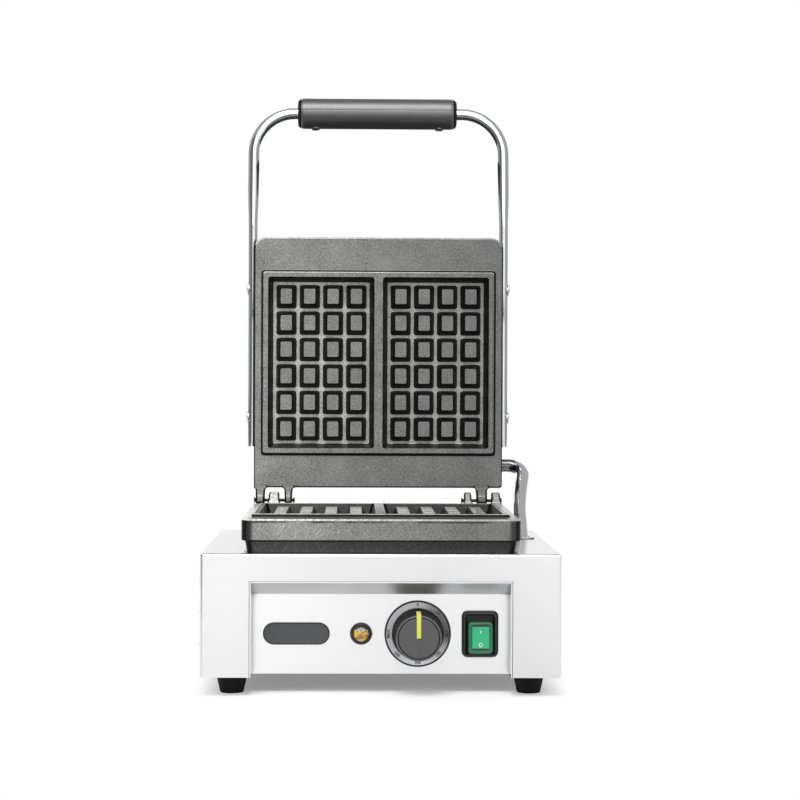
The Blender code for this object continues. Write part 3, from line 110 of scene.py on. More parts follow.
# %% Helpers for colour and nodes
def colour(written):
    """Linear RGBA from an sRGB hex colour."""
    channels = [int(written[i : i + 2], 16) / 255 for i in (0, 2, 4)]
    light = [c / 12.92 if c <= 0.04045 else ((c + 0.055) / 1.055) ** 2.4 for c in channels]
    return (*light, 1.0)


def fill(node, sockets):
    """Fills sockets, by name or by order, with values or links. A node stands for its output in use."""
    for name, value in sockets.items() if isinstance(sockets, dict) else enumerate(sockets):
        if isinstance(value, bpy.types.Node):
            value = next(output for output in value.outputs if output.enabled)
        if isinstance(value, bpy.types.NodeSocket):
            node.id_data.links.new(value, node.inputs[name])
        else:
            node.inputs[name].default_value = value
    return node


def add(tree, kind, sockets=(), **settings):
    """Adds a node of a kind such as ShaderNodeMath, sets its properties and fills its sockets."""
    made = tree.nodes.new("ShaderNode" + kind)
    for name, value in settings.items():
        setattr(made, name, value)
    return fill(made, sockets)


def per_mm(size):
    """The texture scale that makes one pattern unit this many millimetres, for coordinates in metres."""
    return 1000.0 / size


def grains(vector, size_mm, detail, **more):
    """What a noise needs for grains of a real size."""
    return {"Vector": vector, "Scale": per_mm(size_mm), "Detail": detail} | more


# %% [markdown]
# ## How every finish starts
# Each finish is a Principled shader with a few values that hold all over, and patterns that follow the
# object's own coordinates. On a real surface one and the same grain raises the skin and changes the gloss,
# so one noise moves both here. A noise stays between 0.3 and 0.7 nearly everywhere: that span is spread out.

# %% Start a finish, grain it and cloud it
noise_span = (0.3, 0.7)


def finish(name, written, roughness, metallic=0.0, **shader_values):
    """A new Principled material with its even values, its shader and its coordinates."""
    made = bpy.data.materials.new(name)
    made.use_nodes = True
    shader = made.node_tree.nodes["Principled BSDF"]
    even = {"Base Color": colour(written), "Roughness": roughness, "Metallic": metallic}
    fill(shader, even | {key.replace("_", " "): value for key, value in shader_values.items()})
    return made, made.node_tree, shader, add(made.node_tree, "TexCoord")


def grained(shader, grain, low, high, strength, height_mm):
    """Lets a grain move the roughness from low to high and raise a slight bump."""
    rough = add(shader.id_data, "MapRange", (grain, *noise_span, low, high))
    bump = {"Height": grain, "Strength": strength, "Distance": height_mm / 1000}
    fill(shader, {"Roughness": rough, "Normal": add(shader.id_data, "Bump", bump)})
    return rough


def clouded(shader, place, written, size_mm, depth=0.12):
    """Slight clouds in the colour itself, darker than written by up to the depth."""
    tree = shader.id_data
    clouds = add(tree, "TexNoise", grains(place.outputs["Object"], size_mm, 3.0))
    low, high = ([c * share for c in colour(written)[:3]] + [1.0] for share in (1 - depth, 1 + depth / 2))
    shade = add(tree, "Mix", {0: clouds, 6: low, 7: high}, data_type="RGBA")
    fill(shader, {"Base Color": shade})
    return shade


# %% [markdown]
# ## Stainless steel sheet
# The base is folded from stainless sheet with a fine ground finish: a bright metal, with faint scratches
# that all run one way and spread each reflection sideways. The grind lines are about 0.1 mm apart, too
# fine for this picture, so they are drawn 1 mm apart and long. Their unevenness moves the roughness and a
# very slight bump, and the colour hardly at all. Inner folds get a painted shade, and so, on the panel, do
# the faces turned away from the user. Faces that look down turn dull, because no cloth ever wipes them.

# %% Brushed stainless steel
def brushed_steel(name, written, roughness, streak_mm, length_mm, spread, stretch=0.5, shade_turned_away=1.0):
    """Sheet ground along X, with painted shade in its folds and on faces turned away from the user."""
    made, tree, shader, place = finish(name, written, roughness, metallic=1.0, Anisotropic=stretch)
    spot, facing = place.outputs["Object"], place.outputs["Normal"]
    drawn_out = add(tree, "Mapping", {"Vector": spot, "Scale": (streak_mm / length_mm, 1, 1)})
    streaks = add(tree, "TexNoise", grains(drawn_out, streak_mm, 3.0))
    rough = grained(shader, streaks, roughness - spread, roughness + spread, 0.012, 0.2)
    looks = add(tree, "SeparateXYZ", (facing,))
    unwiped = add(tree, "MapRange", (looks.outputs["Z"], -0.5, -0.2, 0.2, 0.0))
    rough = add(tree, "Math", (rough, unwiped), operation="ADD")

    waves = add(tree, "TexNoise", grains(spot, 90, 1.0))
    dimmer = [c * 0.93 for c in colour(written)[:3]] + [1.0]
    shade = add(tree, "Mix", {0: waves, 6: dimmer, 7: colour(written)}, data_type="RGBA")
    # Painted shade: inner folds darken by ambient occlusion, faces turned away by the share given.
    fold_reach = 0.007
    fold = add(tree, "AmbientOcclusion", {"Distance": fold_reach}, samples=8)
    painted_fold_shade = add(tree, "MapRange", (fold.outputs["AO"], 0.25, 0.72, 0.3, 1.0))
    forward = add(tree, "MapRange", (looks.outputs["Y"], -0.9, -0.3, 1.0, shade_turned_away))
    painted_steel_shade = add(tree, "Math", (painted_fold_shade, forward), operation="MULTIPLY")
    painted_shade_colour = add(tree, "VectorMath", {0: shade, "Scale": painted_steel_shade}, operation="SCALE")

    nearly_x = (1, 0.02, 0.05)
    across = add(tree, "VectorMath", (facing, nearly_x), operation="CROSS_PRODUCT")
    to_world = {"vector_type": "VECTOR", "convert_from": "OBJECT", "convert_to": "WORLD"}
    across = add(tree, "VectorTransform", (across,), **to_world)
    fill(shader, {"Base Color": painted_shade_colour, "Roughness": rough, "Tangent": across})
    return made


steel = brushed_steel("ground stainless steel", "F1F1F2", 0.20, 1.0, 40.0, 0.03)
# The panel's faces turned away from the user get a painted shade, down to 0.70.
panel_steel = brushed_steel("satin stainless steel", "FBFBFC", 0.24, 1.0, 40.0, 0.03, 0.28, shade_turned_away=0.70)
inner_steel = brushed_steel("plain inner sheet", "8E8F91", 0.45, 1.5, 20.0, 0.05)
print("a steel finish has", len(steel.node_tree.nodes), "nodes")

# %% [markdown]
# ## Marks and painted shade on the plates' rims
# The rims carry soot and painted shade in the crevices, painted shade on faces that look up, darker ends
# on the lower rim, one dark line of baked fat along the lower plate and slanting scour marks on its left.
# Each mark is one factor that dims or brightens the iron, made from the place on the plate or the way a
# face turns, so that it stays where the photograph has it.

# %% Marks and painted shade on the rims
lower_rim = (0.147, 0.1495)  # these marks fade out between the two heights, so they stay on the lower plate


def rim_marks(tree, place, spot, sides):
    """Factors for a rim: crevice soot and painted shade, painted top shade, darker ends, baked line, scours.
    """
    # Soot and painted shade: ambient occlusion darkens the crevices.
    crevice = add(tree, "AmbientOcclusion", {"Distance": 0.0022}, samples=8)
    soot_and_painted_shade = add(tree, "MapRange", (crevice.outputs["AO"], 0.45, 0.75, 0.3, 1.0))
    # Painted shade: faces that look up are darker.
    painted_top_shade = add(tree, "MapRange", (sides.outputs["Z"], 0.6, 0.95, 1.0, 0.6))

    # The lower rim grows darker towards both ends.
    aside = add(tree, "Math", (spot.outputs["X"],), operation="ABSOLUTE")
    darker_ends = add(tree, "MapRange", (aside, 0.1075, 0.1105, 1.0, 0.05))
    over_rim = add(tree, "MapRange", (spot.outputs["Z"], *lower_rim))
    darker_ends = add(tree, "Math", (darker_ends, over_rim), operation="MAXIMUM")

    along = add(tree, "Mapping", {"Vector": place.outputs["Object"], "Scale": (1, 0, 0)})
    runs = add(tree, "TexNoise", grains(along, 45, 4.0))
    run_depth = add(tree, "MapRange", (runs, 0.44, 0.52, 0.0, 0.95))
    line_height = 0.1471
    off_line = add(tree, "Math", (spot.outputs["Z"], -line_height), operation="ADD")
    off_line = add(tree, "Math", (off_line,), operation="ABSOLUTE")
    on_line = add(tree, "MapRange", (off_line, 0.0005, 0.0011, 1.0, 0.0))
    baked = add(tree, "Math", (run_depth, on_line), operation="MULTIPLY")
    unbaked = add(tree, "Math", (1.0, baked), operation="SUBTRACT")

    # A Mapping of the type TEXTURE turns and stretches the pattern itself: scratches 8 times as long as wide.
    slanted = {"Vector": place.outputs["Object"], "Rotation": (0, 0.75, 0), "Scale": (1, 1, 8)}
    slanted = add(tree, "Mapping", slanted, vector_type="TEXTURE")
    scratches = add(tree, "TexNoise", grains(slanted, 1.8, 3.0))
    scoured = add(tree, "MapRange", (scratches, 0.55, 0.72, 0.0, 0.7))
    on_left = add(tree, "MapRange", (spot.outputs["X"], -0.03, 0.02, 1.0, 0.0))
    on_lower = add(tree, "MapRange", (spot.outputs["Z"], *lower_rim, 1.0, 0.0))
    for share in (on_left, on_lower):
        scoured = add(tree, "Math", (scoured, share), operation="MULTIPLY")
    scoured = add(tree, "Math", (scoured, 1.0), operation="ADD")
    return soot_and_painted_shade, painted_top_shade, darker_ends, unbaked, scoured


# %% [markdown]
# ## Seasoned cast iron
# The two plates are cast in sand and seasoned, so the skin has grains of half a millimetre to two, with a
# thin glossy film of baked oil. The flat faces are mid grey, partly from rubbing in use and partly as
# painted light, while the steep walls of the cells are black, partly from their crusting and partly as
# painted shade. Which faces are steep is read from the surface's own direction: a face towards the user
# or the sky is flat, and any other, or one that looks down, is a wall. On the hinge lugs it is the sides that
# are dark.

# %% Cast iron
def open_share(tree, sides, crusted):
    """Share of grey, 0 on a wall to 1 on a flat, before overhangs are taken off: partly wear, partly painted
    light.
    """
    if crusted == "sides":
        across = add(tree, "Math", (sides.outputs["X"],), operation="ABSOLUTE")
        facing = add(tree, "Math", (1.0, across), operation="SUBTRACT")
        limits = (0.72, 0.93)
    else:
        front = add(tree, "Math", (sides.outputs["Y"], -1.0), operation="MULTIPLY")
        facing = add(tree, "Math", (front, sides.outputs["Z"]), operation="MAXIMUM")
        limits = (0.74, 0.90)
    if crusted == "walls":
        cos_45 = 0.7071
        halfway = add(tree, "Math", (front, sides.outputs["Z"]))
        halfway = add(tree, "Math", (halfway, cos_45), operation="MULTIPLY")
        facing = add(tree, "Math", (facing, halfway), operation="MAXIMUM")
        limits = (0.93, 0.992)
    return add(tree, "MapRange", (facing, *limits), interpolation_type="SMOOTHSTEP")


def cast_iron(name, rubbed_and_lit, crust_and_shade=None, crusted="walls", contrast=0.56, marked=False):
    """Seasoned iron, grey on its flats and black on its walls, edges or sides.

    The grey is partly wear and partly painted light, the black partly crusting and partly painted shade.
    """
    made, tree, shader, place = finish(name, rubbed_and_lit, 0.4, Coat_Weight=0.6, Coat_Roughness=0.12)
    spot = add(tree, "SeparateXYZ", (place.outputs["Object"],))
    sides = add(tree, "SeparateXYZ", (place.outputs["Normal"],))
    grain = add(tree, "TexNoise", grains(place.outputs["Object"], 1.7, 5.0, Roughness=0.65))
    grained(shader, grain, 0.28, 0.5, 0.45, 0.4)
    patches = add(tree, "TexNoise", grains(place.outputs["Object"], 26, 3.0))
    mottle = add(tree, "Mix", {0: 0.25, 2: grain, 3: patches}, data_type="FLOAT")
    shade = add(tree, "MapRange", (mottle, 0.35, 0.65, 1 - contrast, 1 + contrast))
    # Painted light makes the left side lighter than the right. The iron is also lighter low down than high
    # up, so the lower plate is lighter than the upper.
    painted_left_light = add(tree, "MapRange", (spot.outputs["X"], -0.12, 0.12, 1.30, 0.64))
    lighter_low = add(tree, "MapRange", (spot.outputs["Z"], 0.16, 0.40, 1.24, 0.96))
    for factor in (painted_left_light, lighter_low, *(rim_marks(tree, place, spot, sides) if marked else ())):
        shade = add(tree, "Math", (shade, factor), operation="MULTIPLY")
    face = add(tree, "VectorMath", {0: colour(rubbed_and_lit)[:3], "Scale": shade}, operation="SCALE")
    fill(shader, {"Base Color": face})
    # Walls, edges and faces that look down take the dark colour: partly crusting, partly painted shade.
    if crust_and_shade:
        least = 0.20 if marked else 0.0
        hanging = add(tree, "MapRange", (sides.outputs["Z"], -0.16, -0.06, least))
        flat = open_share(tree, sides, crusted)
        flat = add(tree, "Math", (flat, hanging), operation="MULTIPLY")
        face = add(tree, "Mix", {0: flat, 6: colour(crust_and_shade), 7: face}, data_type="RGBA")
        shine = add(tree, "MapRange", (flat, 0.0, 1.0, 0.12, 0.5))
        film = add(tree, "MapRange", (flat, 0.0, 1.0, 0.05, 0.6))
        fill(shader, {"Base Color": face, "Specular IOR Level": shine, "Coat Weight": film})
    return made


cell_iron = cast_iron("cast iron cells", "6A6A69", "0B0B0B")
rim_iron = cast_iron("cast iron rim", "6E6E6D", "101010", crusted="edges", marked=True)
# The lower plate's cells are a lighter copy of the upper plate's, as painted light.
low_cell_iron = cast_iron("cast iron cells below, painted lighter", "AAAAA8", "0E0E0E")
lug_iron = cast_iron("upper hinge iron", "626261", "161616", crusted="sides")
# The lower plate's lugs are a lighter copy too, as painted light.
bright_lug_iron = cast_iron("lower hinge iron, painted lighter", "B2B2B0", "1C1C1C", crusted="sides")
# A painted highlight for the edges that face the light.
painted_highlight_iron = cast_iron("iron with a painted highlight", "BABAB8")
# The upper plate's cell floors are painted light, the lower plate's painted shade.
floor_iron = cast_iron("cell floor, painted lighter", "A2A2A0", contrast=0.5)
dark_floor_iron = cast_iron("cell floor in painted shade", "4A4A49", contrast=1.0)
print("the rim's finish has", len(rim_iron.node_tree.nodes), "nodes")

# %% [markdown]
# ## Black plastics and rubber
# Knob, switch frame, lamp bezel and grip are black mouldings: a dielectric with a soft gloss and a very
# fine moulding grain, 0.4 to 0.8 mm across. The grip is polished phenolic, whose clear skin gives it a wide
# soft band of light. The feet are rubber, duller and without any shine. One function makes them all, since
# only gloss and grain differ.

# %% Moulded plastic
def moulding(name, written, roughness, grain_mm, bump_strength, **shader_values):
    """A moulded plastic or rubber with an even grain."""
    made, tree, shader, place = finish(name, written, roughness, **shader_values)
    grain = add(tree, "TexNoise", grains(place.outputs["Object"], grain_mm, 2.0))
    grained(shader, grain, roughness - 0.04, roughness + 0.04, bump_strength, 0.1)
    clouded(shader, place, written, 6)
    return made


clear_skin = {"Specular_IOR_Level": 0.9, "Coat_Weight": 1.0, "Coat_Roughness": 0.42, "Coat_IOR": 1.66}
grip_black = moulding("black phenolic grip", "0B0B0C", 0.47, 0.6, 0.08, **clear_skin)
knob_black = moulding("black phenolic knob", "1A1A1B", 0.68, 0.5, 0.12, Specular_IOR_Level=0.1)
# Painted highlight: the polished rim is painted grey.
knob_rim_highlight = moulding("polished knob rim, painted lighter", "4E4E50", 0.16, 0.5, 0.02, Specular_IOR_Level=1.0)
knob_plate = moulding("satin knob face", "505051", 0.45, 0.5, 0.15)
bezel_black = moulding("black nylon bezel", "1C1C1D", 0.35, 0.5, 0.1)
foot_rubber = moulding("black rubber foot", "0E0E0F", 0.62, 0.5, 0.2, Specular_IOR_Level=0.2)
green_plastic = moulding("green polycarbonate rocker", "22BE84", 0.30, 0.8, 0.05)
white_plastic = moulding("white polyamide terminal", "E4E2DA", 0.5, 0.6, 0.1)
yellow_plastic = moulding("yellow pointer inlay", "E3E44F", 0.45, 0.6, 0.05)
badge_grey = moulding("grey enamelled badge", "4C4D50", 0.35, 0.5, 0.05)
wool = moulding("mineral wool", "C9C2A8", 0.95, 1.5, 0.8)
print("a moulding has", len(grip_black.node_tree.nodes), "nodes")

# %% [markdown]
# ## Plated metals
# The handle is chromed tube, nearly a mirror. Bolts and screws are zinc plated, a duller and slightly
# bluish grey, and the conduit is bright steel, painted darker near the lid as a painted dark reflection.
# Plating is even in colour and uneven in gloss, so slow clouds move the roughness and barely dent the skin.

# %% Chrome, zinc and steel
def plated(name, written, roughness, cloud_mm, spread, dent=0.03):
    """A plated metal with slight clouds in its gloss."""
    made, tree, shader, place = finish(name, written, roughness, metallic=1.0)
    clouds = add(tree, "TexNoise", grains(place.outputs["Object"], cloud_mm, 3.0))
    grained(shader, clouds, roughness - spread, roughness + spread, dent, 0.1)
    clouded(shader, place, written, cloud_mm * 2, 0.06)
    return made


chrome = plated("chromed steel tube", "E4E5E7", 0.11, 12, 0.02, dent=0.004)
bright_zinc = plated("bright zinc bolt", "F2F2F4", 0.42, 3, 0.05)
conduit_metal = plated("bright steel conduit", "F0F0F2", 0.17, 6, 0.05)
# A darker copy of the conduit's steel, as a painted dark reflection.
painted_dark_reflection = plated("conduit with a painted dark reflection", "6E6F71", 0.24, 4, 0.08)
zinc = plated("zinc plated screw", "B9BBBE", 0.30, 3, 0.08)
dark_steel = plated("oiled dark steel pin", "3A3A3C", 0.35, 3, 0.08)
# A grey painted reflection for the top of the lens.
painted_lens_reflection = plated("lens top with a painted reflection", "86878A", 0.22, 1.2, 0.1)
sheath = plated("nickel alloy sheath", "6A6660", 0.45, 4, 0.1)
print("a plated metal has", len(chrome.node_tree.nodes), "nodes")

# %% [markdown]
# ## The dial's aluminium
# The dial is turned on a lathe, so its brush lines run round it and the light lies on it in a fan. Such a
# fan would take several lamps to show by itself, so it is drawn: the direction from the dial's middle picks
# a tone from a ramp. The brush lines are too fine to be seen one by one, so a grain of 0.4 mm stands for
# them.

# %% Turned aluminium
dial_x, control_z = 0.0317, 0.05042
brushed_round = {"Anisotropic": 0.85, "Anisotropic_Rotation": 0.25}
dial_tone = "F2F2F4"
aluminium, tree, shader, place = finish("lathe turned aluminium dial", dial_tone, 0.3, 1.0, **brushed_round)
clouds = clouded(shader, place, dial_tone, 3, 0.1)
dial_centre = (dial_x, 0, control_z)
out = add(tree, "VectorMath", (place.outputs["Object"], dial_centre), operation="SUBTRACT")
out = add(tree, "SeparateXYZ", (out,)).outputs
around = add(tree, "Math", (out["X"], out["Z"]), operation="ARCTAN2")
fan = add(tree, "ValToRGB", (add(tree, "MapRange", (around, -math.pi, math.pi)),))
ramp = fan.color_ramp
ramp.interpolation = "EASE"
fan_tones = {0.125: "E4", 0.25: "DE", 0.375: "DC", 0.5: "CC", 0.6: "90", 0.75: "70", 0.87: "D8"}
for turn, tone in fan_tones.items():
    ramp.elements.new(turn).color = colour(3 * tone)
ramp.elements[0].color = ramp.elements[-1].color = colour("FFFFFF")
fan = add(tree, "Mix", {0: 1.0, 6: clouds, 7: fan}, data_type="RGBA", blend_type="MULTIPLY")
lines = add(tree, "TexNoise", grains(place.outputs["Object"], 0.4, 2.0))
bump = add(tree, "Bump", {"Height": lines, "Strength": 0.02, "Distance": 0.0001})
round_way = add(tree, "Tangent", direction_type="RADIAL", axis="Y")
fill(shader, {"Base Color": fan, "Tangent": round_way, "Normal": bump})
print("the dial's fan has", len(ramp.elements), "tones")

# %% [markdown]
# ## The lamp's lens
# The lens is clear amber acrylic over small facets, each of which throws its own bit of light. Real glass
# rays would cost time and show as noise, so a Voronoi pattern of 2 mm gives each facet one of four tones.

# %% Amber acrylic
amber, tree, shader, place = finish("amber acrylic lens", "D09A34", 0.12, Coat_Weight=0.6)
facets = add(tree, "TexVoronoi", {"Vector": place.outputs["Object"], "Scale": per_mm(2.0)})
chance = add(tree, "SeparateXYZ", (facets.outputs["Color"],))
sparkle = add(tree, "ValToRGB", (chance.outputs["X"],))
ramp = sparkle.color_ramp
ramp.interpolation = "CONSTANT"
for start, tone in ((0.0, "A87A22"), (0.3, "C8952E"), (0.55, "E2C04A"), (0.78, "DCC9A0")):
    stop = ramp.elements.new(start) if start else ramp.elements[0]
    stop.color = colour(tone)
ramp.elements.remove(ramp.elements[-1])
facet_edge = {"Height": facets.outputs["Distance"], "Strength": 0.5, "Distance": 0.0006}
fill(shader, {"Base Color": sparkle, "Normal": add(tree, "Bump", facet_edge)})
print("the lens sparkles in", len(ramp.elements), "tones")

# %% [markdown]
# ## The frame's own parts
# Parts that stay as the frame has them get a finish too, chosen by how their names start. The first row
# that fits holds, so the screws stand before the parts that they hold. Three modifiers finish the mesh
# without changing it: one skin, whole faces instead of triangles, and edges eased as folding leaves them.

# %% Put finishes on the frame's own parts
finish_rows = (
    (zinc, "lid_cover_screw foot_screw handle_bolt grip_screw conduit_bush thermostat_shaft"),
    (steel, "base_housing rear_panel lid_cover plate_bracket lower_clamp upper_clamp lower_heat"),
    (steel, "conduit_washer"),
    (panel_steel, "front_panel"),
    (inner_steel, "bottom_plate"),
    (rim_iron, "lower_plate upper_plate"),
    (foot_rubber, "foot_"),
    (sheath, "lower_element upper_element"),
    (wool, "lower_insulation upper_insulation"),
    (chrome, "handle_tube"),
    (grip_black, "grip_"),
    (dark_steel, "hinge_pin"),
    (conduit_metal, "conduit_tube thermostat_capillary"),
    (knob_black, "control_knob"),
    (yellow_plastic, "knob_pointer"),
    (aluminium, "dial_ring"),
    (bezel_black, "lamp_bezel lamp_body switch_frame cord_gland gland_nut"),
    (amber, "lamp_lens"),
    (green_plastic, "switch_rocker"),
    (badge_grey, "badge_plate"),
    (white_plastic, "terminal_block thermostat_body"),
)
folded_edge, plain_edge = 0.0006, 0.0003
for name, part in nodes.items():
    part.data.materials.clear()
    fitting = (made for made, starts in finish_rows if name.startswith(tuple(starts.split())))
    part.data.materials.append(next(fitting))
    part.modifiers.new("one skin", "WELD").merge_threshold = 0.00001
    thinned = part.modifiers.new("whole faces", "DECIMATE")
    thinned.decimate_type = "DISSOLVE"
    thinned.angle_limit = math.radians(1)
    eased = part.modifiers.new("eased edges", "BEVEL")
    eased.width = folded_edge if name in ("base_housing", "front_panel") else plain_edge
    eased.segments = 3
    eased.limit_method = "ANGLE"
    eased.angle_limit = math.radians(40)
    eased.use_clamp_overlap = True
print(len(nodes), "parts of the frame have their finish")

# %% [markdown]
# ## Shapes by rings
# Nearly every piece here is a stack of rings: a casting, a tube, a knob. So a few small helpers carry the
# lesson. The first softens the corners of a section, as a tool or a mould always does. Sections are
# written in millimetres, as on a drawing, and everything else is in metres, as the frame is.

# %% Helpers for sections
def mm(*sizes):
    """Millimetres as metres, for one size or for several."""
    metres = [size / 1000 for size in sizes]
    return metres if len(metres) > 1 else metres[0]


def softened(*corners, steps=4):
    """A section through (a, b, softening) in millimetres, its corners rounded and its ends left sharp."""
    most_share = 0.48
    corners = [mm(*corner) for corner in corners]
    points = [Vector(corners[0][:2])]
    for before, here, after in zip(corners, corners[1:], corners[2:]):
        middle = Vector(here[:2])
        if here[2] == 0:
            points.append(middle)
            continue
        back = Vector(before[:2]) - middle
        on = Vector(after[:2]) - middle
        start = middle + back.normalized() * min(here[2], back.length * most_share)
        end = middle + on.normalized() * min(here[2], on.length * most_share)
        for step in range(steps + 1):
            t = step / steps
            points.append(start * (1 - t) ** 2 + middle * (2 * t * (1 - t)) + end * t * t)
    points.append(Vector(corners[-1][:2]))
    return points


def rounded(half_x, half_y, corner, steps=5, centre=(0, 0), far_corner=None):
    """A rectangle with round corners, whose two far corners may have another radius."""
    outline = []
    for quarter, (side_x, side_y) in enumerate(((1, 1), (-1, 1), (-1, -1), (1, -1))):
        radius = far_corner if far_corner and side_y > 0 else corner
        for step in range(steps + 1):
            angle = (quarter + step / steps) * math.pi / 2
            x = centre[0] + side_x * (half_x - radius) + radius * math.cos(angle)
            outline.append((x, centre[1] + side_y * (half_y - radius) + radius * math.sin(angle)))
    return outline


# %% [markdown]
# Rings then become skins: two rings of vertices are joined, a stack of rings makes a wall, and a flat face
# that may have holes in it is filled between its edges. A turned piece and a swept tube are both such
# stacks, one round an axis and the other along a line.

# %% Helpers for rings and skins
def join(mesh, low, high):
    """Faces between two rings of vertices."""
    for i in range(len(low)):
        j = (i + 1) % len(low)
        mesh.faces.new((low[i], low[j], high[j], high[i]))


def skin(mesh, rings):
    """Joins rings of points into a skin and returns the first and last ring."""
    made = [[mesh.verts.new(point) for point in ring] for ring in rings]
    for low, high in zip(made, made[1:]):
        join(mesh, low, high)
    return made[0], made[-1]


def close(mesh, *rings):
    """Fills the flat face between an outer ring and the rings of its holes."""
    edges = []
    for ring in rings:
        edges += [mesh.edges.get((a, b)) for a, b in zip(ring, ring[1:] + ring[:1])]
    bmesh.ops.triangle_fill(mesh, edges=edges, use_beauty=True)


def turned(profile, sides):
    """A profile of (radius, height) turned about Z. Points on the axis close the shape."""
    on_axis = 1e-4
    mesh = bmesh.new()
    angles = [2 * math.pi * i / sides for i in range(sides)]
    rings = []
    for radius, height in profile:
        wide = max(radius, 1e-5)
        rings.append([(wide * math.cos(a), wide * math.sin(a), height) for a in angles])
    for ring, (radius, _) in zip(skin(mesh, rings), (profile[0], profile[-1])):
        if radius < on_axis:
            mesh.faces.new(ring)
    return mesh


def swept(points, section, side):
    """A section of (side, up) offsets carried along a line, with open ends."""
    mesh = bmesh.new()
    rings = []
    for i, point in enumerate(points):
        ahead = points[min(i + 1, len(points) - 1)] - points[max(i - 1, 0)]
        ahead.normalize()
        side = (side - ahead * side.dot(ahead)).normalized()
        up = ahead.cross(side)
        rings.append([point + side * a + up * b for a, b in section(point)])
    return mesh, skin(mesh, rings)


# %% [markdown]
# ## From a mesh to a piece
# A finished mesh becomes an object, gets its finish, and rides on the body that moves it, in the place of
# the frame's own parts. Its faces have to look outwards: a closed skin whose volume comes out negative is
# inside out, so it is turned. Where one piece has two finishes, a test picks the faces of the second.

# %% Make a piece and paint some of its faces
def piece(name, mesh, body, finish, *stands_for, place=None):
    """Makes an object of a mesh, smooths it, and lets it ride in the place of the frame's own parts."""
    if place is not None:
        mesh.transform(place)
    bmesh.ops.recalc_face_normals(mesh, faces=mesh.faces[:])
    if mesh.calc_volume(signed=True) < 0:
        bmesh.ops.reverse_faces(mesh, faces=mesh.faces[:])
    data = bpy.data.meshes.new(name)
    mesh.to_mesh(data)
    mesh.free()
    data.shade_smooth()
    made = bpy.data.objects.new(name, data)
    bpy.context.scene.collection.objects.link(made)
    data.materials.append(finish)
    made.modifiers.new("weighted_normals", "WEIGHTED_NORMAL").weight = 80
    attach(made, body)
    if stands_for:
        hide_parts(*stands_for)
    print(name, "has", len(data.polygons), "faces")
    return made


def paint(made, finish, chosen):
    """Gives the faces that a test chooses, by their middle, a finish of their own."""
    made.data.materials.append(finish)
    for face in made.data.polygons:
        if chosen(face.center):
            face.material_index = len(made.data.materials) - 1


# %% [markdown]
# ## The two cast plates
# Both plates come out of one mould: a flange with a skirt, a raised field with two cells, and 24 studs in
# each cell. A foundry gives every edge a radius and every wall some draft, and those small slopes are
# what catches the light. So the plate is drawn as sections with softened corners, from the skirt up to
# the tops of the studs, and the flat faces between them are filled. The frame has it with bare edges.

# %% Sizes of the casting, with the mating face up and the hinge axis at the origin
face_mm, rim_mm, flange_mm, skirt_mm = -0.15, -2.65, -21.25, -37.55
face_level, rim_level, skirt_level = mm(face_mm, rim_mm, skirt_mm)
plate_half, plate_front, plate_rear = mm(118.5, 250.7, 11.9)
cell_half = Vector(mm(50.35, 81.5))
cell_x, cell_y = mm(54.65, -131.0)
cell_run_mm, cell_depth_mm = 4.2, 12
stud_half = Vector(mm(9.6, 11.25))
stud_pitch = Vector(mm(22.28, 25.3))
stud_run_mm, stud_drop_mm = 4, 2.5
field_half = Vector(mm(109.9, 86.3))
skirt_wall_mm, pocket_level = 11.065, mm(-18.15)
rim_slot, cell_slot, floor_slot, lug_slot, highlight_slot = range(5)


def plate_ring(inset, level):
    """The plate's outline, drawn in by an inset."""
    half_y = (plate_front - plate_rear) / 2
    centre = (0, -(plate_front + plate_rear) / 2)
    near_corner = mm(11) - inset / 2
    outline = rounded(plate_half - inset, half_y - inset, near_corner, centre=centre, far_corner=mm(2.4))
    return [(x, y, level) for x, y in outline]


def walled_ring(centre, half, corner, inset, level):
    """A rounded rectangle round a centre, drawn in by an inset."""
    outline = rounded(half.x - inset, half.y - inset, max(corner - inset * 0.3, mm(0.5)), centre=centre)
    return [(x, y, level) for x, y in outline]


# %% [markdown]
# The hinge lugs are eyes round the axis, each on a web that flares where it leaves the plate, as the mould
# needs it. A lug is again a stack of rings: rounded rectangles that follow the web and then the eye.

# %% A hinge lug
eye, lug_root, lug_draft, lug_edge = mm(8, -15.5, 0.7, 2.1)
web_share, flare_share = 0.64, 0.8
eye_meets = -eye * web_share
round_top = math.sqrt(eye**2 - eye_meets**2)
web_top, web_foot, eye_least = rim_level - mm(0.4), -mm(18), mm(0.4)


def lug(mesh, low, high, flare):
    """A hinge lug from one X to another, whose web spreads by the flare at the plate."""
    stations = [lug_root, -plate_rear]
    stations += [-plate_rear + flare * share for share in (0.25, 0.5, 0.75, 1)]
    stations += [eye_meets + (eye - eye_meets) * math.sin(math.pi / 2 * i / 12) for i in range(13)]
    rings = []
    for y in stations:
        spread = max(0, 1 - (y + plate_rear) / flare) if y > -plate_rear else 1
        wide = flare * (1 - math.sqrt(max(0, 1 - spread**2))) * flare_share
        taper = lug_draft * max(0, (y + plate_rear) / (eye + plate_rear))
        if y < eye_meets:
            along = (y - lug_root) / (eye_meets - lug_root)
            top = web_top + (round_top - web_top) * along
            foot = web_foot + (-web_foot - round_top) * along
        else:
            top = math.sqrt(max(eye**2 - y**2, eye_least**2))
            foot = -top
        half_x, half_z = (high - low) / 2 + wide - taper, (top - foot) / 2
        centre = ((low + high) / 2, (top + foot) / 2)
        outline = rounded(half_x, half_z, min(lug_edge, half_z * 0.9), 4, centre)
        side = plate_half - mm(0.1)
        rings.append([(min(max(x, -side), side), y, z) for x, z in outline])
    for ring in skin(mesh, rings):
        mesh.faces.new(ring)


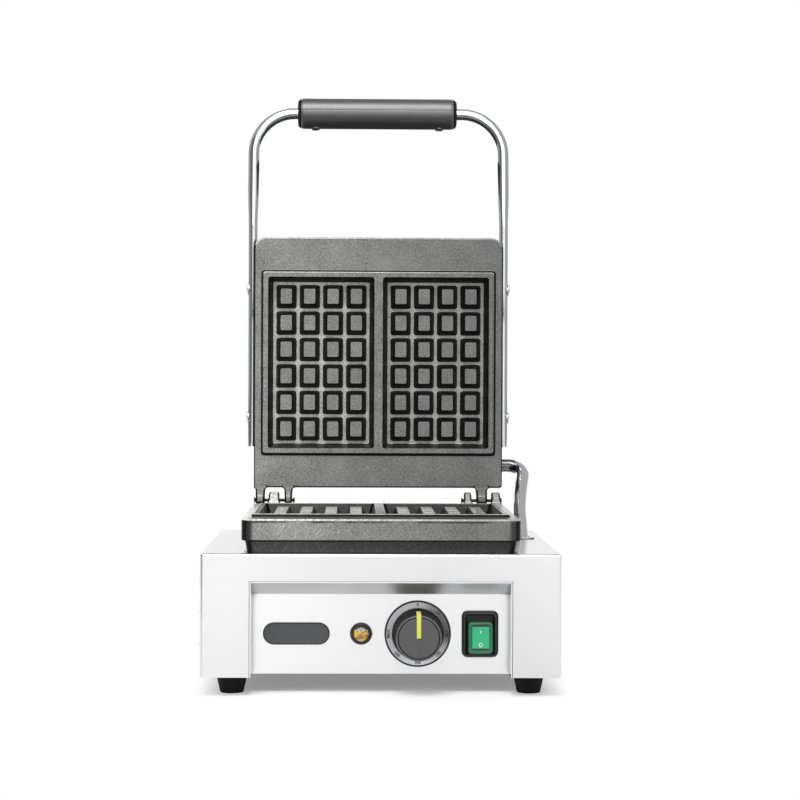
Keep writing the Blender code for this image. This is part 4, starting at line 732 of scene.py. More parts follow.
# %% [markdown]
# One function casts a whole plate, from the outside in: the skirt and rim, the raised field, the two cells
# with their studs, the pocket underneath and the lugs. Each stretch of faces is told which finish it
# takes as soon as it is made, so that edges with a painted highlight, walls, cell floors and lugs can differ.

# %% The casting
def slot_faces(mesh, first, slot, above=None):
    """Gives the faces from a number on a finish's slot, if they lie above a level."""
    mesh.faces.ensure_lookup_table()
    for face in mesh.faces[first:]:
        if above is None or min(vert.co.z for vert in face.verts) > above:
            face.material_index = slot


def cell(mesh, centre):
    """One cell with its 24 studs. Returns its mouth."""
    floor_mm = face_mm - cell_depth_mm
    cell_section = softened(
        (-0.8, face_mm, 0),
        (0, face_mm, 0.8),
        (cell_run_mm, floor_mm, 1.2),
        (cell_run_mm + 1.4, floor_mm, 0),
    )
    stud_top = face_mm - stud_drop_mm
    stud_section = softened(
        (-1.0, floor_mm, 0),
        (0, floor_mm, 0.9),
        (stud_run_mm, stud_top, 0.7),
        (stud_run_mm + 0.7, stud_top, 0),
    )
    mouth, edge = skin(mesh, [walled_ring(centre, cell_half, mm(2.6), a, z) for a, z in cell_section])
    feet = []
    for column in range(4):
        for row in range(6):
            spot = (centre[0] + (column - 1.5) * stud_pitch.x, centre[1] + (row - 2.5) * stud_pitch.y)
            rings = [walled_ring(spot, stud_half, mm(2.4), a, z) for a, z in stud_section]
            foot, top = skin(mesh, rings)
            feet.append(foot)
            mesh.faces.new(top)
    close(mesh, edge, *feet)
    return mouth


def casting(flare):
    """The whole plate as one mesh, with the flare of its lugs."""
    mesh = bmesh.new()
    outside = softened(
        (8, skirt_mm, 0),
        (6.065, skirt_mm, 0.8),
        (2.9, flange_mm, 1.2),
        (0, flange_mm, 1.2),
        (0, rim_mm - 1.1, 0.35),
        (1.1, rim_mm, 0.35),
        (2.9, rim_mm, 0),
    )
    under, rim = skin(mesh, [plate_ring(inset, level) for inset, level in outside])
    # The rim's top edge takes the painted highlight.
    slot_faces(mesh, 0, highlight_slot, above=rim_level - mm(1.35))

    field = softened((-2.9, rim_mm, 0), (-2.1, rim_mm, 0.5), (0, face_mm, 1.0), (1.0, face_mm, 0))
    field_faces = len(mesh.faces)
    low, high = skin(mesh, [walled_ring((0, cell_y), field_half, mm(2.5), a, z) for a, z in field])
    # The field's edge takes the painted highlight too.
    slot_faces(mesh, field_faces, highlight_slot, above=face_level - mm(0.75))
    close(mesh, rim, low)

    cell_faces = len(mesh.faces)
    mouths = [cell(mesh, (side * cell_x, cell_y)) for side in (-1, 1)]
    slot_faces(mesh, cell_faces, cell_slot)
    floor_level = mm(face_mm - cell_depth_mm)
    for face in mesh.faces[cell_faces:]:
        if all(abs(vert.co.z - floor_level) < mm(0.35) for vert in face.verts):
            face.material_index = floor_slot
    top_faces = len(mesh.faces)
    close(mesh, high, *mouths)
    slot_faces(mesh, top_faces, rim_slot)

    pocket = [plate_ring(mm(skirt_wall_mm), level) for level in (skirt_level, pocket_level)]
    opening, ceiling = skin(mesh, pocket)
    close(mesh, under, opening)
    mesh.faces.new(ceiling)
    lug_faces = len(mesh.faces)
    for low, high in (mm(-104.2, -93.5), mm(81.5, 89.2), mm(107.5, 116.6)):
        lug(mesh, low, high, flare)
    slot_faces(mesh, lug_faces, lug_slot)
    return mesh


# %% [markdown]
# The lower plate lies in the base with its face up. The upper one is the same casting turned over and swung
# up about the hinge, as the lid stands in the photograph. Each gets its own finishes: painted light makes the
# lower plate's cells and lugs and the upper plate's cell floors lighter, and painted shade darkens the lower
# plate's cell floors.

# %% Cast the lower and the upper plate
hinge_y, hinge_z = mm(102.95, 152.25)
hinge = Matrix.Translation((0, hinge_y, hinge_z))
opened = hinge @ Matrix.Rotation(math.radians(-90), 4, "X") @ Matrix.Rotation(math.pi, 4, "Y")
low_flare, high_flare = mm(0.8, 3)
lower_casting = casting(low_flare)
lower_casting = piece("lower_cast_plate", lower_casting, "base", rim_iron, "lower_plate", place=hinge)
upper_casting = casting(high_flare)
upper_casting = piece("upper_cast_plate", upper_casting, "lid", rim_iron, "upper_plate", place=opened)
for made, finishes in (
    (lower_casting, (low_cell_iron, dark_floor_iron, bright_lug_iron, painted_highlight_iron)),
    (upper_casting, (cell_iron, floor_iron, lug_iron, painted_highlight_iron)),
):
    for finish_used in finishes:
        made.data.materials.append(finish_used)

# On the open lid only the edges that look up keep the painted highlight. The lower rim gets it along both
# sides.
rising, level_up = 0.2, 0.9
for face in upper_casting.data.polygons:
    if face.material_index == highlight_slot and face.normal.z < rising:
        face.material_index = rim_slot
rim_height, rim_start = hinge_z + rim_level + mm(0.1), mm(110.5)
for face in lower_casting.data.polygons:
    on_rim = abs(face.center.x) > rim_start and face.center.z < rim_height
    if on_rim and face.normal.z > level_up:
        face.material_index = highlight_slot

# %% [markdown]
# The pins that the lugs turn on are plain dark steel. Each has a small stepped head at both ends, where the
# turner left a chamfer, so one half of the section is written and the other half is its mirror.

# %% Turn the hinge pins
pin_head = softened((0, 0, 0), (2.6, 0, 0.5), (2.6, 1.2, 0.5), (1.5, 1.5, 0.3), (1.5, 10, 0))
for side in ("left", "right"):
    low, high = (Vector(corner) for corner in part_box("hinge_pin_" + side))
    length = high.x - low.x
    pin = pin_head + [(radius, length - along) for radius, along in pin_head[::-1]]
    pin_place = Matrix.Translation((low.x, (low.y + high.y) / 2, (low.z + high.z) / 2))
    pin_place = pin_place @ Matrix.Rotation(math.pi / 2, 4, "Y")
    piece(f"turned_pin_{side}", turned(pin, 32), "base", dark_steel, "hinge_pin_" + side, place=pin_place)

# %% [markdown]
# ## The handle
# The handle is one length of chromed tube. Its two arms are pressed a little flat where they pass the
# plates, then it leans back, turns through two wide bends and carries the grip. A section of 40 sides
# swept along many points keeps the long reflections clean, which no coarse tube does.

# %% Sweep the handle
tube_radius, arm_half, arm_x, handle_back = mm(5.4, 4.5, 120.5, 27.2)
lean_start, lean_radius, bend_radius, grip_along = mm(262, 60, 40, 373)
lean = math.radians(9)
arm_end = mm(50.5)
slope = grip_along - lean_start - lean_radius * math.sin(lean)
handle_top = lean_start + lean_radius * lean + slope / math.cos(lean)


def circle(radius_across, radius_up, sides=40):
    """The points of a round or pressed section."""
    angles = [2 * math.pi * i / sides for i in range(sides)]
    return [(radius_across * math.cos(a), radius_up * math.sin(a)) for a in angles]


def handle_point(across, along):
    """A point of the handle's middle line with the lid open, in the machine's own place."""
    turned_by = min(max(along - lean_start, 0) / lean_radius, lean)
    straight = max(along - lean_start - lean_radius * lean, 0)
    up = min(along, lean_start) + lean_radius * math.sin(turned_by) + straight * math.cos(lean)
    back = handle_back + lean_radius * (1 - math.cos(turned_by)) + straight * math.sin(lean)
    return Vector((across, hinge_y + back, hinge_z + up))


def tube_section(point):
    """The tube's section, pressed flatter along the arms."""
    past = min(max((point.z - hinge_z - lean_start) / mm(36), 0), 1)
    eased = past * past * (3 - 2 * past)
    return circle(tube_radius - (tube_radius - arm_half) * (1 - eased), tube_radius)


bend_start = handle_top - bend_radius
half_route = [(arm_x, arm_end + (lean_start - arm_end) * i / 24) for i in range(25)]
half_route += [(arm_x, lean_start + (bend_start - lean_start) * i / 20) for i in range(1, 21)]
for step in range(1, 25):
    angle = math.pi / 2 * step / 24
    across = arm_x - bend_radius + bend_radius * math.cos(angle)
    half_route.append((across, bend_start + bend_radius * math.sin(angle)))
route = [handle_point(mm(-0.4) - across, along) for across, along in half_route]
route += [handle_point(across, along) for across, along in half_route[::-1]]

handle_mesh, ends = swept(route, tube_section, Vector((1, 0, 0)))
bore_share, bore_depth = 0.78, Vector((0, 0, mm(6)))
for ring, point in zip(ends, (route[0], route[-1])):
    inner = [point + (vert.co - point) * bore_share for vert in ring]
    lip, bottom = ([handle_mesh.verts.new(p + deep) for p in inner] for deep in (Vector(), bore_depth))
    join(handle_mesh, ring, lip)
    join(handle_mesh, lip, bottom)
    handle_mesh.faces.new(bottom)
piece("chromed_handle", handle_mesh, "lid", chrome, "handle_tube")

# %% [markdown]
# ## Bolts
# Four domed bolts hold the arms. Each is one turned profile, a shank with a low dome, laid on its side.

# %% Turn the bolts
bolt_head = softened((3, 0, 0), (5.75, 0, 0.2), (5.6, 1.0, 0.9), (2.5, 1.78, 1.6), (0, 1.8, 0))
bolt_profile = [(0, mm(-14.5)), mm(3, -14.5)] + bolt_head
for end, height in (("upper", mm(354.05)), ("lower", mm(230.65))):
    for side, sign in (("left", -1), ("right", 1)):
        name = f"handle_bolt_{end}_{side}"
        seat = Matrix.Translation((sign * mm(125.2), mm(130.15), height))
        seat = seat @ Matrix.Rotation(sign * math.pi / 2, 4, "Y")
        piece(name + "_domed", turned(bolt_profile, 40), "lid", bright_zinc, name, place=seat)

# %% [markdown]
# ## The grip
# The grip is two moulded half shells that meet in a fine seam, with two screw bosses on the side that faces
# the plates. A turned body with its radius drawn in at the seam shows the joint line. Its ends are
# rounded as a hand wants them, and matt, because only the long side is polished.

# %% Turn the grip
radius_mm, half_mm, bore_mm, seam_mm = 14.7, 76.9, 5.7, 0.45
half_profile = [(bore_mm, half_mm - 2, 0), (bore_mm, half_mm, 0.4)]
half_profile += [(radius_mm - 2.2, half_mm, 2.2), (radius_mm, half_mm - 4.2, 3.6)]
profile = softened(*((r, -z, soft) for r, z, soft in half_profile), *half_profile[::-1], steps=8)
grip = turned(profile, 240)
seam_degrees, seam_from = 0.5, mm(6)
for vert in grip.verts:
    across = abs(math.degrees(math.atan2(vert.co.y, vert.co.x)))
    if min(across, 180 - across) < seam_degrees and math.hypot(vert.co.x, vert.co.y) > seam_from:
        vert.co.x *= 1 - seam_mm / radius_mm
grip.transform(Matrix.Rotation(math.pi / 2, 4, "Y") @ Matrix.Rotation(math.pi / 2, 4, "Z"))
boss_mm, boss_top = 4, -radius_mm - 1.2
well = ((0, 1.2 - radius_mm, 0), (2.9, 1.2 - radius_mm, 0), (2.9, boss_top, 0.3))
boss = softened(*well, (boss_mm, boss_top, 0.7), (boss_mm + 0.2, 1 - radius_mm, 0))
for boss_x in mm(-59.9, 59.9):
    tower = turned(boss, 32)
    tower.transform(Matrix.Translation((boss_x, 0, 0)))
    scrap = bpy.data.meshes.new("boss")
    tower.to_mesh(scrap)
    tower.free()
    grip.from_mesh(scrap)
    bpy.data.meshes.remove(scrap)
grip_middle = handle_point(mm(-1.5), handle_top)
grip_turn = Matrix.Translation(grip_middle) @ Matrix.Rotation(-lean, 4, "X")
halves = ("grip_outer_half", "grip_inner_half")
grip = piece("moulded_grip", grip, "lid", grip_black, *halves, place=grip_turn)
paint(grip, knob_black, lambda middle: abs(middle.x - grip_middle.x) > mm(half_mm - 3.6))

# %% [markdown]
# ## The swivelling conduit
# A short bent tube of bright steel guides the lid's wires into the base. It leaves the lid sideways and
# turns down. Then it sways in towards the plate and is straight again before it enters its slot in the
# base top, because the tube slides there when the lid closes. It is swept like the handle.

# %% Sweep the conduit
conduit_radius = mm(6.1)
conduit_lean = math.atan2(85.8, 64.05)
inner_end, shoulder, leg, bend = mm(106.5, 139.6, 133.5, 14)
sway_end, tube_length = mm(74, 123.07)
bend_turn, sway_ease = math.radians(99), 1.6
line = [(inner_end, 0), ((inner_end + shoulder - bend) / 2, 0)]
for step in range(19):
    angle = bend_turn * step / 18
    line.append((shoulder - bend + bend * math.sin(angle), bend * (1 - math.cos(angle))))
sway_x, sway_start = line[-1]
for step in range(1, 21):
    share = step / 20
    across = leg + (sway_x - leg) * (1 - share) ** sway_ease
    line.append((across, sway_start + (sway_end - sway_start) * share))
line += [(leg, sway_end + (tube_length - sway_end) * i / 6) for i in range(1, 7)]
line = [Vector((x, 0, -down)) for x, down in line]
conduit_mesh, ends = swept(line, lambda point: circle(conduit_radius, conduit_radius), Vector((0, 1, 0)))
for ring in ends:
    conduit_mesh.faces.new(ring)
pivot = Matrix.Translation(mm(0, 131.75, 184.75)) @ Matrix.Rotation(-conduit_lean, 4, "X")
conduit = piece("bent_conduit", conduit_mesh, "conduit", conduit_metal, "conduit_tube", place=pivot)
# The conduit's upper part near the lid takes the painted dark reflection.
paint(conduit, painted_dark_reflection, lambda middle: middle.x < mm(132.5) and middle.z > mm(168))

# %% [markdown]
# ## The temperature control
# The dial is a thin aluminium ring with a black edge. The knob stands on it: a flank that narrows in a
# slight hollow, a polished rim, a fine groove and a flat face. Both are turned, and a test on how far a
# face lies from the axis paints the edge, the rim and the flat face. The rim is painted grey on the black
# knob, as a painted highlight.

# %% Turn the dial and the knob
panel_y = mm(-123.05)
lamp_x, switch_x, badge_x = mm(-16.7, 85.0, -72.0)


def on_panel(x):
    """The place of a control, with Z towards the user and Y up."""
    return Matrix.Translation((x, panel_y, control_z)) @ Matrix.Rotation(math.pi / 2, 4, "X")


def from_axis(middle):
    """How far a face lies from the knob's axis."""
    return math.hypot(middle.x - dial_x, middle.z - control_z)


dial_mm, dial_top_mm = 28.4, 1.3
dial_edge = softened(
    (5, 0.3, 0),
    (dial_mm, 0.3, 0.2),
    (dial_mm, dial_top_mm, 0.4),
    (dial_mm - 1.3, dial_top_mm, 0.2),
    (dial_mm - 1.5, dial_top_mm - 0.2, 0.1),
    (5, dial_top_mm - 0.2, 0),
)
dial = piece("aluminium_dial", turned(dial_edge, 96), "base", aluminium, "dial_ring", place=on_panel(dial_x))
paint(dial, bezel_black, lambda middle: from_axis(middle) > mm(dial_mm - 1.45))

back_mm, front_mm = 4, 38
knob_section = softened(
    (20, back_mm + 3, 0),
    (20.6, back_mm, 0.3),
    (22.25, back_mm, 0.5),
    (22.0, back_mm + 4, 3),
    (19.6, back_mm + 22, 8),
    (19.3, front_mm - 0.6, 1.1),
    (18.1, front_mm, 0.7),
    (17.3, front_mm - 0.9, 0.35),
    (16.6, front_mm - 0.45, 0.35),
    (0, front_mm - 0.3, 0),
    steps=6,
)
knob = turned(knob_section, 96)
knob = piece("phenolic_knob", knob, "knob", knob_black, "control_knob", place=on_panel(dial_x))
face_y, rim_y = (panel_y - mm(front_mm - below) for below in (0.8, 1.3))
paint(knob, knob_plate, lambda middle: middle.y < face_y and from_axis(middle) < mm(17))
# The rim's grey is a painted highlight.
paint(knob, knob_rim_highlight, lambda middle: middle.y < rim_y and from_axis(middle) > mm(17.9))

# %% [markdown]
# A yellow inlay runs up the knob's flank, over the rim and to the middle of the face. It is a strip that
# follows the knob's own section, so it bends exactly where the knob does.

# %% Lay the inlay on the knob
inlay_line = ((20.5, 19), (20.1, 22), (19.75, 25.5), (19.55, 30), (19.35, 36), (19.1, 37.3), (18.4, 38.0))
inlay_line += ((17.3, 38.25), (10, 38.25), (1.6, 38.25), (0.6, 38.2), (0.1, 38.0))
inlay_line = [Vector(mm(*point)) for point in inlay_line]
half_width, sunk, rise, eased = mm(1.85, 0.4, 0.35, 0.25)
edge = half_width - mm(0.3)
rings = []
for i, point in enumerate(inlay_line):
    ahead = inlay_line[min(i + 1, len(inlay_line) - 1)] - inlay_line[max(i - 1, 0)]
    ahead.normalize()
    out = Vector((-ahead.y, ahead.x))
    if out.y < 0 and abs(out.y) > abs(out.x):
        out = -out
    low, high = point - out * sunk, point + out * rise
    side = high - out * eased
    half = [(half_width, *low), (half_width, *side), (edge, *high)]
    rings.append([(-half_width, *low)] + half + [(-edge, *high), (-half_width, *side)])
inlay = bmesh.new()
for ring in skin(inlay, rings):
    inlay.faces.new(ring)
piece("pointer_inlay", inlay, "knob", yellow_plastic, "knob_pointer", place=on_panel(dial_x))

# %% [markdown]
# The scale runs clockwise from zero at the top in steps of an eighth of a turn. The figures are printed
# ink, so each is a flat outline just above the metal, turned to face outwards.

# %% Print the scale
ink = moulding("dark printing ink", "2E2E30", 0.6, 0.4, 0.02)


def printed(name, text, size, place, finish, body):
    """Flat figures at a place that faces the user."""
    letters = bpy.data.curves.new(name + "_outline", "FONT")
    letters.body = text
    letters.size = size
    letters.offset = size * 0.03
    letters.align_x = letters.align_y = "CENTER"
    carrier = bpy.data.objects.new(name + "_outline", letters)
    bpy.context.scene.collection.objects.link(carrier)
    bpy.context.view_layer.update()
    flat = bpy.data.meshes.new_from_object(carrier.evaluated_get(bpy.context.evaluated_depsgraph_get()))
    bpy.data.objects.remove(carrier)
    bpy.data.curves.remove(letters)
    flat.name = name
    flat.transform(place)
    flat.materials.clear()
    flat.materials.append(finish)
    made = bpy.data.objects.new(name, flat)
    bpy.context.scene.collection.objects.link(made)
    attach(made, body)


figures = ("0", "50", "100", "150", "200", "250", "MAX")
upside_down = range(3, 6)
for number, figure in enumerate(figures):
    up = Matrix.Rotation(-math.radians(45) * number, 4, "Z")
    up = up @ Matrix.Translation(mm(0, 24.9, dial_top_mm + 0.02))
    if number in upside_down:
        up = up @ Matrix.Rotation(math.pi, 4, "Z")
    printed(f"scale_figure_{number}", figure, mm(3.6), on_panel(dial_x) @ up, ink, "base")
print("the scale has", len(figures), "figures")

# %% [markdown]
# ## The lamp
# The lamp is a black ring with a small nub that stops it from turning, and a clear amber lens. Light breaks
# up in the lens because it is fluted, so it gets eight shallow flutes, and its top gets a painted reflection.

# %% Turn the lamp
lamp_edge = ((9.4, 0.3, 0.2), (9.4, 2.0, 0.8), (8.2, 3.0, 0.8), (6.9, 3.0, 0.4), (6.7, 1.8, 0.2))
lamp_ring = turned(softened((4, 0.3, 0), *lamp_edge, (4, 1.8, 0)), 64)
piece("lamp_ring", lamp_ring, "base", bezel_black, "lamp_bezel", place=on_panel(lamp_x))
nub = softened((0, 1.5, 0), (0.9, 1.5, 0.2), (0.8, 2.6, 0.4), (0, 2.7, 0))
nub_place = on_panel(lamp_x) @ Matrix.Translation(mm(9.0, 0, -1.2))
piece("lamp_nub", turned(nub, 24), "base", bezel_black, place=nub_place)

lens_mm, flutes, flute_depth = 6.5, 8, mm(0.28)
lens_section = softened(
    (lens_mm, 2.1, 0), (lens_mm, 3.2, 0.4), (5.3, 4.3, 1.2), (2.6, 5.0, 1.5), (0, 5.15, 0), steps=6
)
lens_mesh = turned(lens_section, 96)
for vert in lens_mesh.verts:
    around = math.atan2(vert.co.y, vert.co.x)
    out = math.hypot(vert.co.x, vert.co.y) / mm(lens_mm)
    vert.co.z += flute_depth * out * (1 - out * 0.6) * math.cos(flutes * around)
lens = piece("fluted_lens", lens_mesh, "base", amber, "lamp_lens", place=on_panel(lamp_x))
# The top of the lens takes the painted reflection.
paint(lens, painted_lens_reflection, lambda middle: middle.z - control_z > mm(2.6) + abs(middle.x - lamp_x) * 0.25)

# %% [markdown]
# ## The switch
# The rocker sits in a black frame with a deep bevel. The frame is a skin of rounded rectangles, from the
# panel outwards, and so are the rocker and the badge after it: one helper makes all three.

# %% Build the switch frame
def on_outline(half_x, half_y, corner, section, steps=5, follow=0.6):
    """A skin of rounded rectangles through a section of (inset, level)."""
    mesh = bmesh.new()
    rings = []
    for inset, level in section:
        outline = rounded(half_x - inset, half_y - inset, max(corner - inset * follow, mm(0.4)), steps)
        rings.append([(x, y, level) for x, y in outline])
    return mesh, skin(mesh, rings)


frame_half = Vector(mm(15.6, 19.75))
frame_section = softened(
    (3, 0.3, 0), (0, 0.3, 0.2), (0, 2.2, 0.8), (1.3, 3.5, 1.2), (2.9, 3.4, 0.8), (4.1, 1.6, 0.6), (4.4, -6, 0)
)
frame_mesh, ends = on_outline(*frame_half, mm(4.6), frame_section)
frame_mesh.faces.new(ends[1])
for vert in frame_mesh.verts:
    inward = min(frame_half.x - abs(vert.co.x), frame_half.y - abs(vert.co.y)) > mm(2)
    if inward and vert.co.y < 0:
        vert.co.y -= mm(2.0)
piece("switch_surround", frame_mesh, "base", bezel_black, "switch_frame", place=on_panel(switch_x))

# %% [markdown]
# The rocker is a dark green rim round a bright green window, with the usual two marks: a stroke for on and a
# ring for off. It rests tilted to one side, and all its pieces share one place, so they tilt together.

# %% Build the rocker, tilted as it rests
green_rim = moulding("deep green rocker rim", "2F7A55", 0.25, 0.7, 0.2)
pale_ink = moulding("pale marking ink", "EADADA", 0.5, 0.5, 0.02)
rest_tilt = math.radians(-7)
tilted = Matrix.Translation(mm(0, 0, -4.5)) @ Matrix.Rotation(rest_tilt, 4, "X")
green_place = on_panel(switch_x) @ tilted @ Matrix.Translation(mm(0.4, -4.1, 0))
rocker_section = softened(
    (2.2, -4.0, 0),
    (0.2, 0, 0.6),
    (0.2, 8.6, 0.9),
    (1.2, 9.6, 0.6),
    (2.6, 9.7, 0.3),
    (2.75, 9.2, 0.15),
    (3.1, 9.2, 0),
)
rocker_mesh, ends = on_outline(*mm(10.95, 14.0, 3.4), rocker_section)
for ring in ends:
    rocker_mesh.faces.new(ring)
rocker_mesh.faces.ensure_lookup_table()
rocker_mesh.faces[-1].material_index = 1
rocker_rim = piece("rocker_rim", rocker_mesh, "rocker", green_rim, "switch_rocker", place=green_place)
rocker_rim.data.materials.append(moulding("dark rocker groove", "24332C", 0.5, 0.7, 0.1))

window_section = softened((0.2, 9.0, 0), (0, 9.3, 0.2), (0.1, 9.85, 0.3), (0.9, 9.9, 0))
window_mesh, ends = on_outline(*mm(7.45, 9.3, 0.9), window_section)
window_mesh.faces.new(ends[1])
piece("rocker_window", window_mesh, "rocker", green_plastic, place=green_place)
ink_low, ink_high = 9.9, 9.96
stroke, ends = on_outline(*mm(0.45, 1.2, 0.4), (mm(0, ink_low), mm(0.05, ink_high)))
stroke.faces.new(ends[1])
piece("on_mark", stroke, "rocker", pale_ink, place=green_place @ Matrix.Translation(mm(0, 4.8, 0)))
ring_mark = bmesh.new()
ring_section = (mm(1.75, ink_low), mm(1.7, ink_high), mm(1.05, ink_high), mm(1.0, ink_low))
skin(ring_mark, [[(x, y, z) for x, y in circle(r, r * 1.1, 32)] for r, z in ring_section])
piece("off_mark", ring_mark, "rocker", pale_ink, place=green_place @ Matrix.Translation(mm(0, -6.2, 0)))

# %% [markdown]
# ## The bare badge
# The badge is a pill-shaped enamelled plate with a thin black border, and it is left bare.

# %% Build the badge
badge_edge = ((0, 0.5, 0.1), (0, 1.2, 0.3), (0.5, 1.5, 0.2), (1.0, 1.5, 0.15), (1.3, 1.2, 0.1))
badge_section = softened((0.4, 0.3, 0), *badge_edge, (1.8, 1.2, 0))
badge_mesh, ends = on_outline(*mm(28.5, 9.45, 9.4), badge_section, 12, follow=1.0)
badge_mesh.faces.new(ends[1])
badge = piece("bare_badge", badge_mesh, "base", badge_grey, "badge_plate", place=on_panel(badge_x))
pill_straight, pill_inner = mm(19.05, 8.3)


def on_border(middle):
    """Whether a face of the badge lies outside the pill that its border leaves open."""
    past_straight = max(abs(middle.x - badge_x) - pill_straight, 0)
    return math.hypot(past_straight, middle.z - control_z) > pill_inner


paint(badge, bezel_black, on_border)

# %% [markdown]
# ## Feet
# The feet are turned rubber cups with a rounded lip at the table.

# %% Turn the feet
foot_section = softened(
    (4.4, 0.6, 0),
    (5.6, 0, 0.3),
    (9.8, 0, 0.9),
    (10.5, 2.4, 0.6),
    (12.9, 13.4, 0.8),
    (12.6, 15.7, 0.8),
    (5, 15.7, 0),
)
for row, y in (("front", mm(-120.05)), ("rear", mm(119.95))):
    for side, x in (("left", mm(-127)), ("right", mm(127))):
        name = f"foot_{row}_{side}"
        place = Matrix.Translation((x, y, 0))
        piece("rubber_" + name, turned(foot_section, 64), "base", foot_rubber, name, place=place)

# %% [markdown]
# ## The floor
# The picture has a pure white ground with a soft grey shadow under the machine. A white floor takes the
# shadow, and a faint glow that only the camera sees lifts it to the photograph's grey. Away from the
# machine the floor glows fully, so that it fades into the white round it. Sheet steel mirrors that glow,
# and a dimmer strip in the middle, for reflections only, gives the panel its tone.

# %% Floor
def card(name, corners, finish):
    """A flat card of the stage."""
    data = bpy.data.meshes.new(name)
    data.from_pydata(corners, [], [(0, 1, 2, 3)])
    data.materials.append(finish)
    made = bpy.data.objects.new(name, data)
    bpy.context.scene.collection.objects.link(made)
    made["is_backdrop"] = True
    return made


def bare(holder):
    """The node tree of a material or a world, emptied."""
    holder.use_nodes = True
    holder.node_tree.nodes.clear()
    return holder.node_tree


white = (1, 1, 1, 1)
paper = bpy.data.materials.new("white paper floor")
tree = bare(paper)
eye = add(tree, "LightPath").outputs["Is Camera Ray"]
shadow_lift = 0.25
lift = add(tree, "Math", (eye, shadow_lift), operation="MULTIPLY")
lift = add(tree, "Emission", {"Color": white, "Strength": lift})
shaded = add(tree, "BsdfDiffuse", {"Color": (0.8, 0.8, 0.8, 1)})
shaded = add(tree, "AddShader", (shaded, lift))

where = add(tree, "TexCoord").outputs["Object"]
strip_middle, strip_run, strip_light = 0.08, (0.02, 0.24), (0.80, 0.98)
strip = add(tree, "SeparateXYZ", (where,)).outputs["X"]
strip = add(tree, "Math", (strip, -strip_middle), operation="ADD")
strip = add(tree, "Math", (strip,), operation="ABSOLUTE")
strip = add(tree, "MapRange", (strip, *strip_run, *strip_light), interpolation_type="SMOOTHSTEP")
strip = add(tree, "Math", (strip, eye), operation="MAXIMUM")
glow = add(tree, "Emission", {"Color": white, "Strength": strip})

# The distance outside a box under the machine. It counts more to the sides, where the shadow ends sooner.
fade_box, side_weight, fade_run = (0.128, 0.085, 0), (5.2, 1, 0), (0.02, 0.19)
outside = add(tree, "VectorMath", (where,), operation="ABSOLUTE")
for operation, by in (("SUBTRACT", fade_box), ("MAXIMUM", (0, 0, 0)), ("MULTIPLY", side_weight)):
    outside = add(tree, "VectorMath", (outside, by), operation=operation)
outside = add(tree, "VectorMath", (outside,), operation="LENGTH")
faded = add(tree, "MapRange", (outside, *fade_run))
add(tree, "OutputMaterial", {"Surface": add(tree, "MixShader", (faded, shaded, glow))})
reach = 6.0
print("the shadow has faded out", fade_run[1], "m from the box, and the floor reaches", reach, "m")
card("floor", [(-reach, -reach, 0), (reach, -reach, 0), (reach, reach, 0), (-reach, reach, 0)], paper)

# %% [markdown]
# ## The world
# The camera sees a white world, straight on and through anything clear. The machine is lit by a dimmer
# one, so that bright metal still has something darker than white to mirror.

# %% World
bpy.context.scene.world = bpy.data.worlds.new("white studio")
sky = bare(bpy.context.scene.world)
path = add(sky, "LightPath")
direct = (path.outputs["Is Camera Ray"], path.outputs["Is Transmission Ray"])
direct = add(sky, "Math", direct, operation="MAXIMUM")
room_light = 0.42
pale, bright = (add(sky, "Background", {"Color": white, "Strength": s}) for s in (room_light, 1.0))
add(sky, "OutputWorld", {"Surface": add(sky, "MixShader", (direct, pale, bright))})
print("the room's light is", room_light, "of the white that the camera sees")

# %% [markdown]
# ## What the metals mirror
# A photographer sets white cards and black flags round bright metal, out of the picture, because a polished
# surface shows only what stands round it. So do we: the cards glow, some brightly and some hardly at
# all. Only reflections see them, so they neither light the floor nor throw a shadow.

# %% Reflected cards
def reflected_card(name, corners, strength):
    """A card with an even light that only polished surfaces see."""
    light = bpy.data.materials.new(name)
    tree = bare(light)
    glow = add(tree, "Emission", {"Color": white, "Strength": strength})
    add(tree, "OutputMaterial", {"Surface": glow})
    made = card(name, corners, light)
    for ray in ("camera", "diffuse", "shadow", "transmission", "volume_scatter"):
        setattr(made, "visible_" + ray, False)


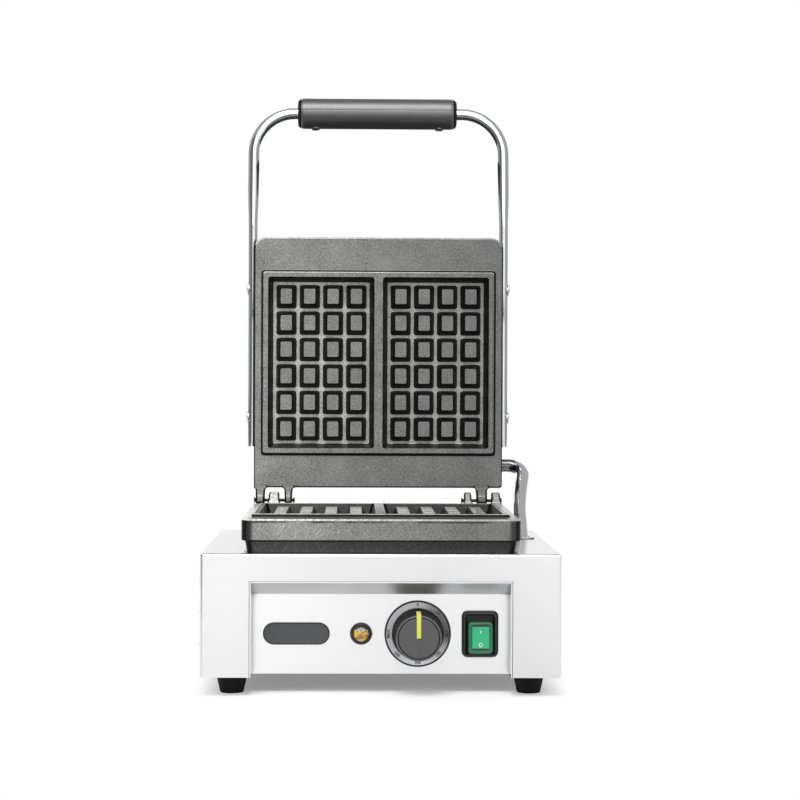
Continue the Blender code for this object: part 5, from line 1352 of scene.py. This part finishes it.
# From one direction to another in degrees, as seen from above, then distance, low edge, high edge, strength.
upright_cards = {
    "front_reflector": (-20, 28, 3.4, -0.4, 1.7, 1.12),
    "rear_reflector": (140, 220, 3.2, -0.1, 2.2, 0.96),
    "left_flag": (-90, -24, 0.75, 0.24, 0.95, 0.16),
    "front_right_reflector": (28, 56, 0.8, 0.24, 0.95, 1.1),
    "right_card": (56, 112, 0.8, 0.24, 0.95, 0.42),
    "low_left_flag": (-125, -35, 1.2, -0.02, 0.24, 0.15),
    "low_right_card": (30, 80, 1.2, -0.02, 0.24, 0.8),
    "low_right_flag": (80, 125, 1.2, -0.02, 0.24, 0.22),
}
for name, (start, end, distance, low, high, strength) in upright_cards.items():
    one, other = (
        (distance * math.sin(math.radians(a)), -distance * math.cos(math.radians(a))) for a in (start, end)
    )
    reflected_card(name, [(*one, low), (*other, low), (*other, high), (*one, high)], strength)

# The near and the far edge as (y, z), then half the width and the strength.
tilted_cards = {
    "high_reflector": ((-2.7, 0.8), (-0.6, 3.2), 1.0, 2.8),
    "low_flag": ((-0.42, 0.36), (-0.04, 0.33), 0.35, 0.16),
    "grip_flag": ((0.115, 0.485), (0.30, 0.485), 0.085, 0.04),
}
for name, (near, far, half, strength) in tilted_cards.items():
    reflected_card(name, [(-half, *near), (half, *near), (half, *far), (-half, *far)], strength)
print(len(upright_cards) + len(tilted_cards), "cards stand round the machine")

# %% [markdown]
# ## Lamps
# The light is that of a pale studio: one wide soft box from the upper left in front, and a small weak one
# low on the left that lifts the near side. The picture's colours stay as they are written.

# %% Lamps
for name, place, aim, size, power in (
    ("front_top_box", (-0.28, -1.35, 2.3), (0, 0, 0.25), 1.1, 37),
    ("near_left_box", (-0.75, -0.85, 0.5), (0, 0, 0.2), 0.4, 2.2),
):
    light = bpy.data.lights.new(name, "AREA")
    light.shape = "SQUARE"
    light.size = size
    light.energy = power
    lamp = bpy.data.objects.new(name, light)
    bpy.context.scene.collection.objects.link(lamp)
    lamp.location = place
    lamp.rotation_euler = (Vector(aim) - Vector(place)).to_track_quat("-Z", "Y").to_euler()
    print(name, "gives", power, "W over", size, "m")

bpy.context.scene.view_settings.view_transform = "Standard"

# %% [markdown]
# ## Measure
# The box of the dressed model is measured, and how far its corners differ from those of the frame's box is
# printed.

# %% Print how far the sizes differ
dressed_bounds = [list(corner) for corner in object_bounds()]
grown = [round(1000 * (d - c), 2) for c, d in zip(sum(cad_bounds, []), sum(dressed_bounds, []))]
print("the dressed model's corners differ by", grown, "mm")
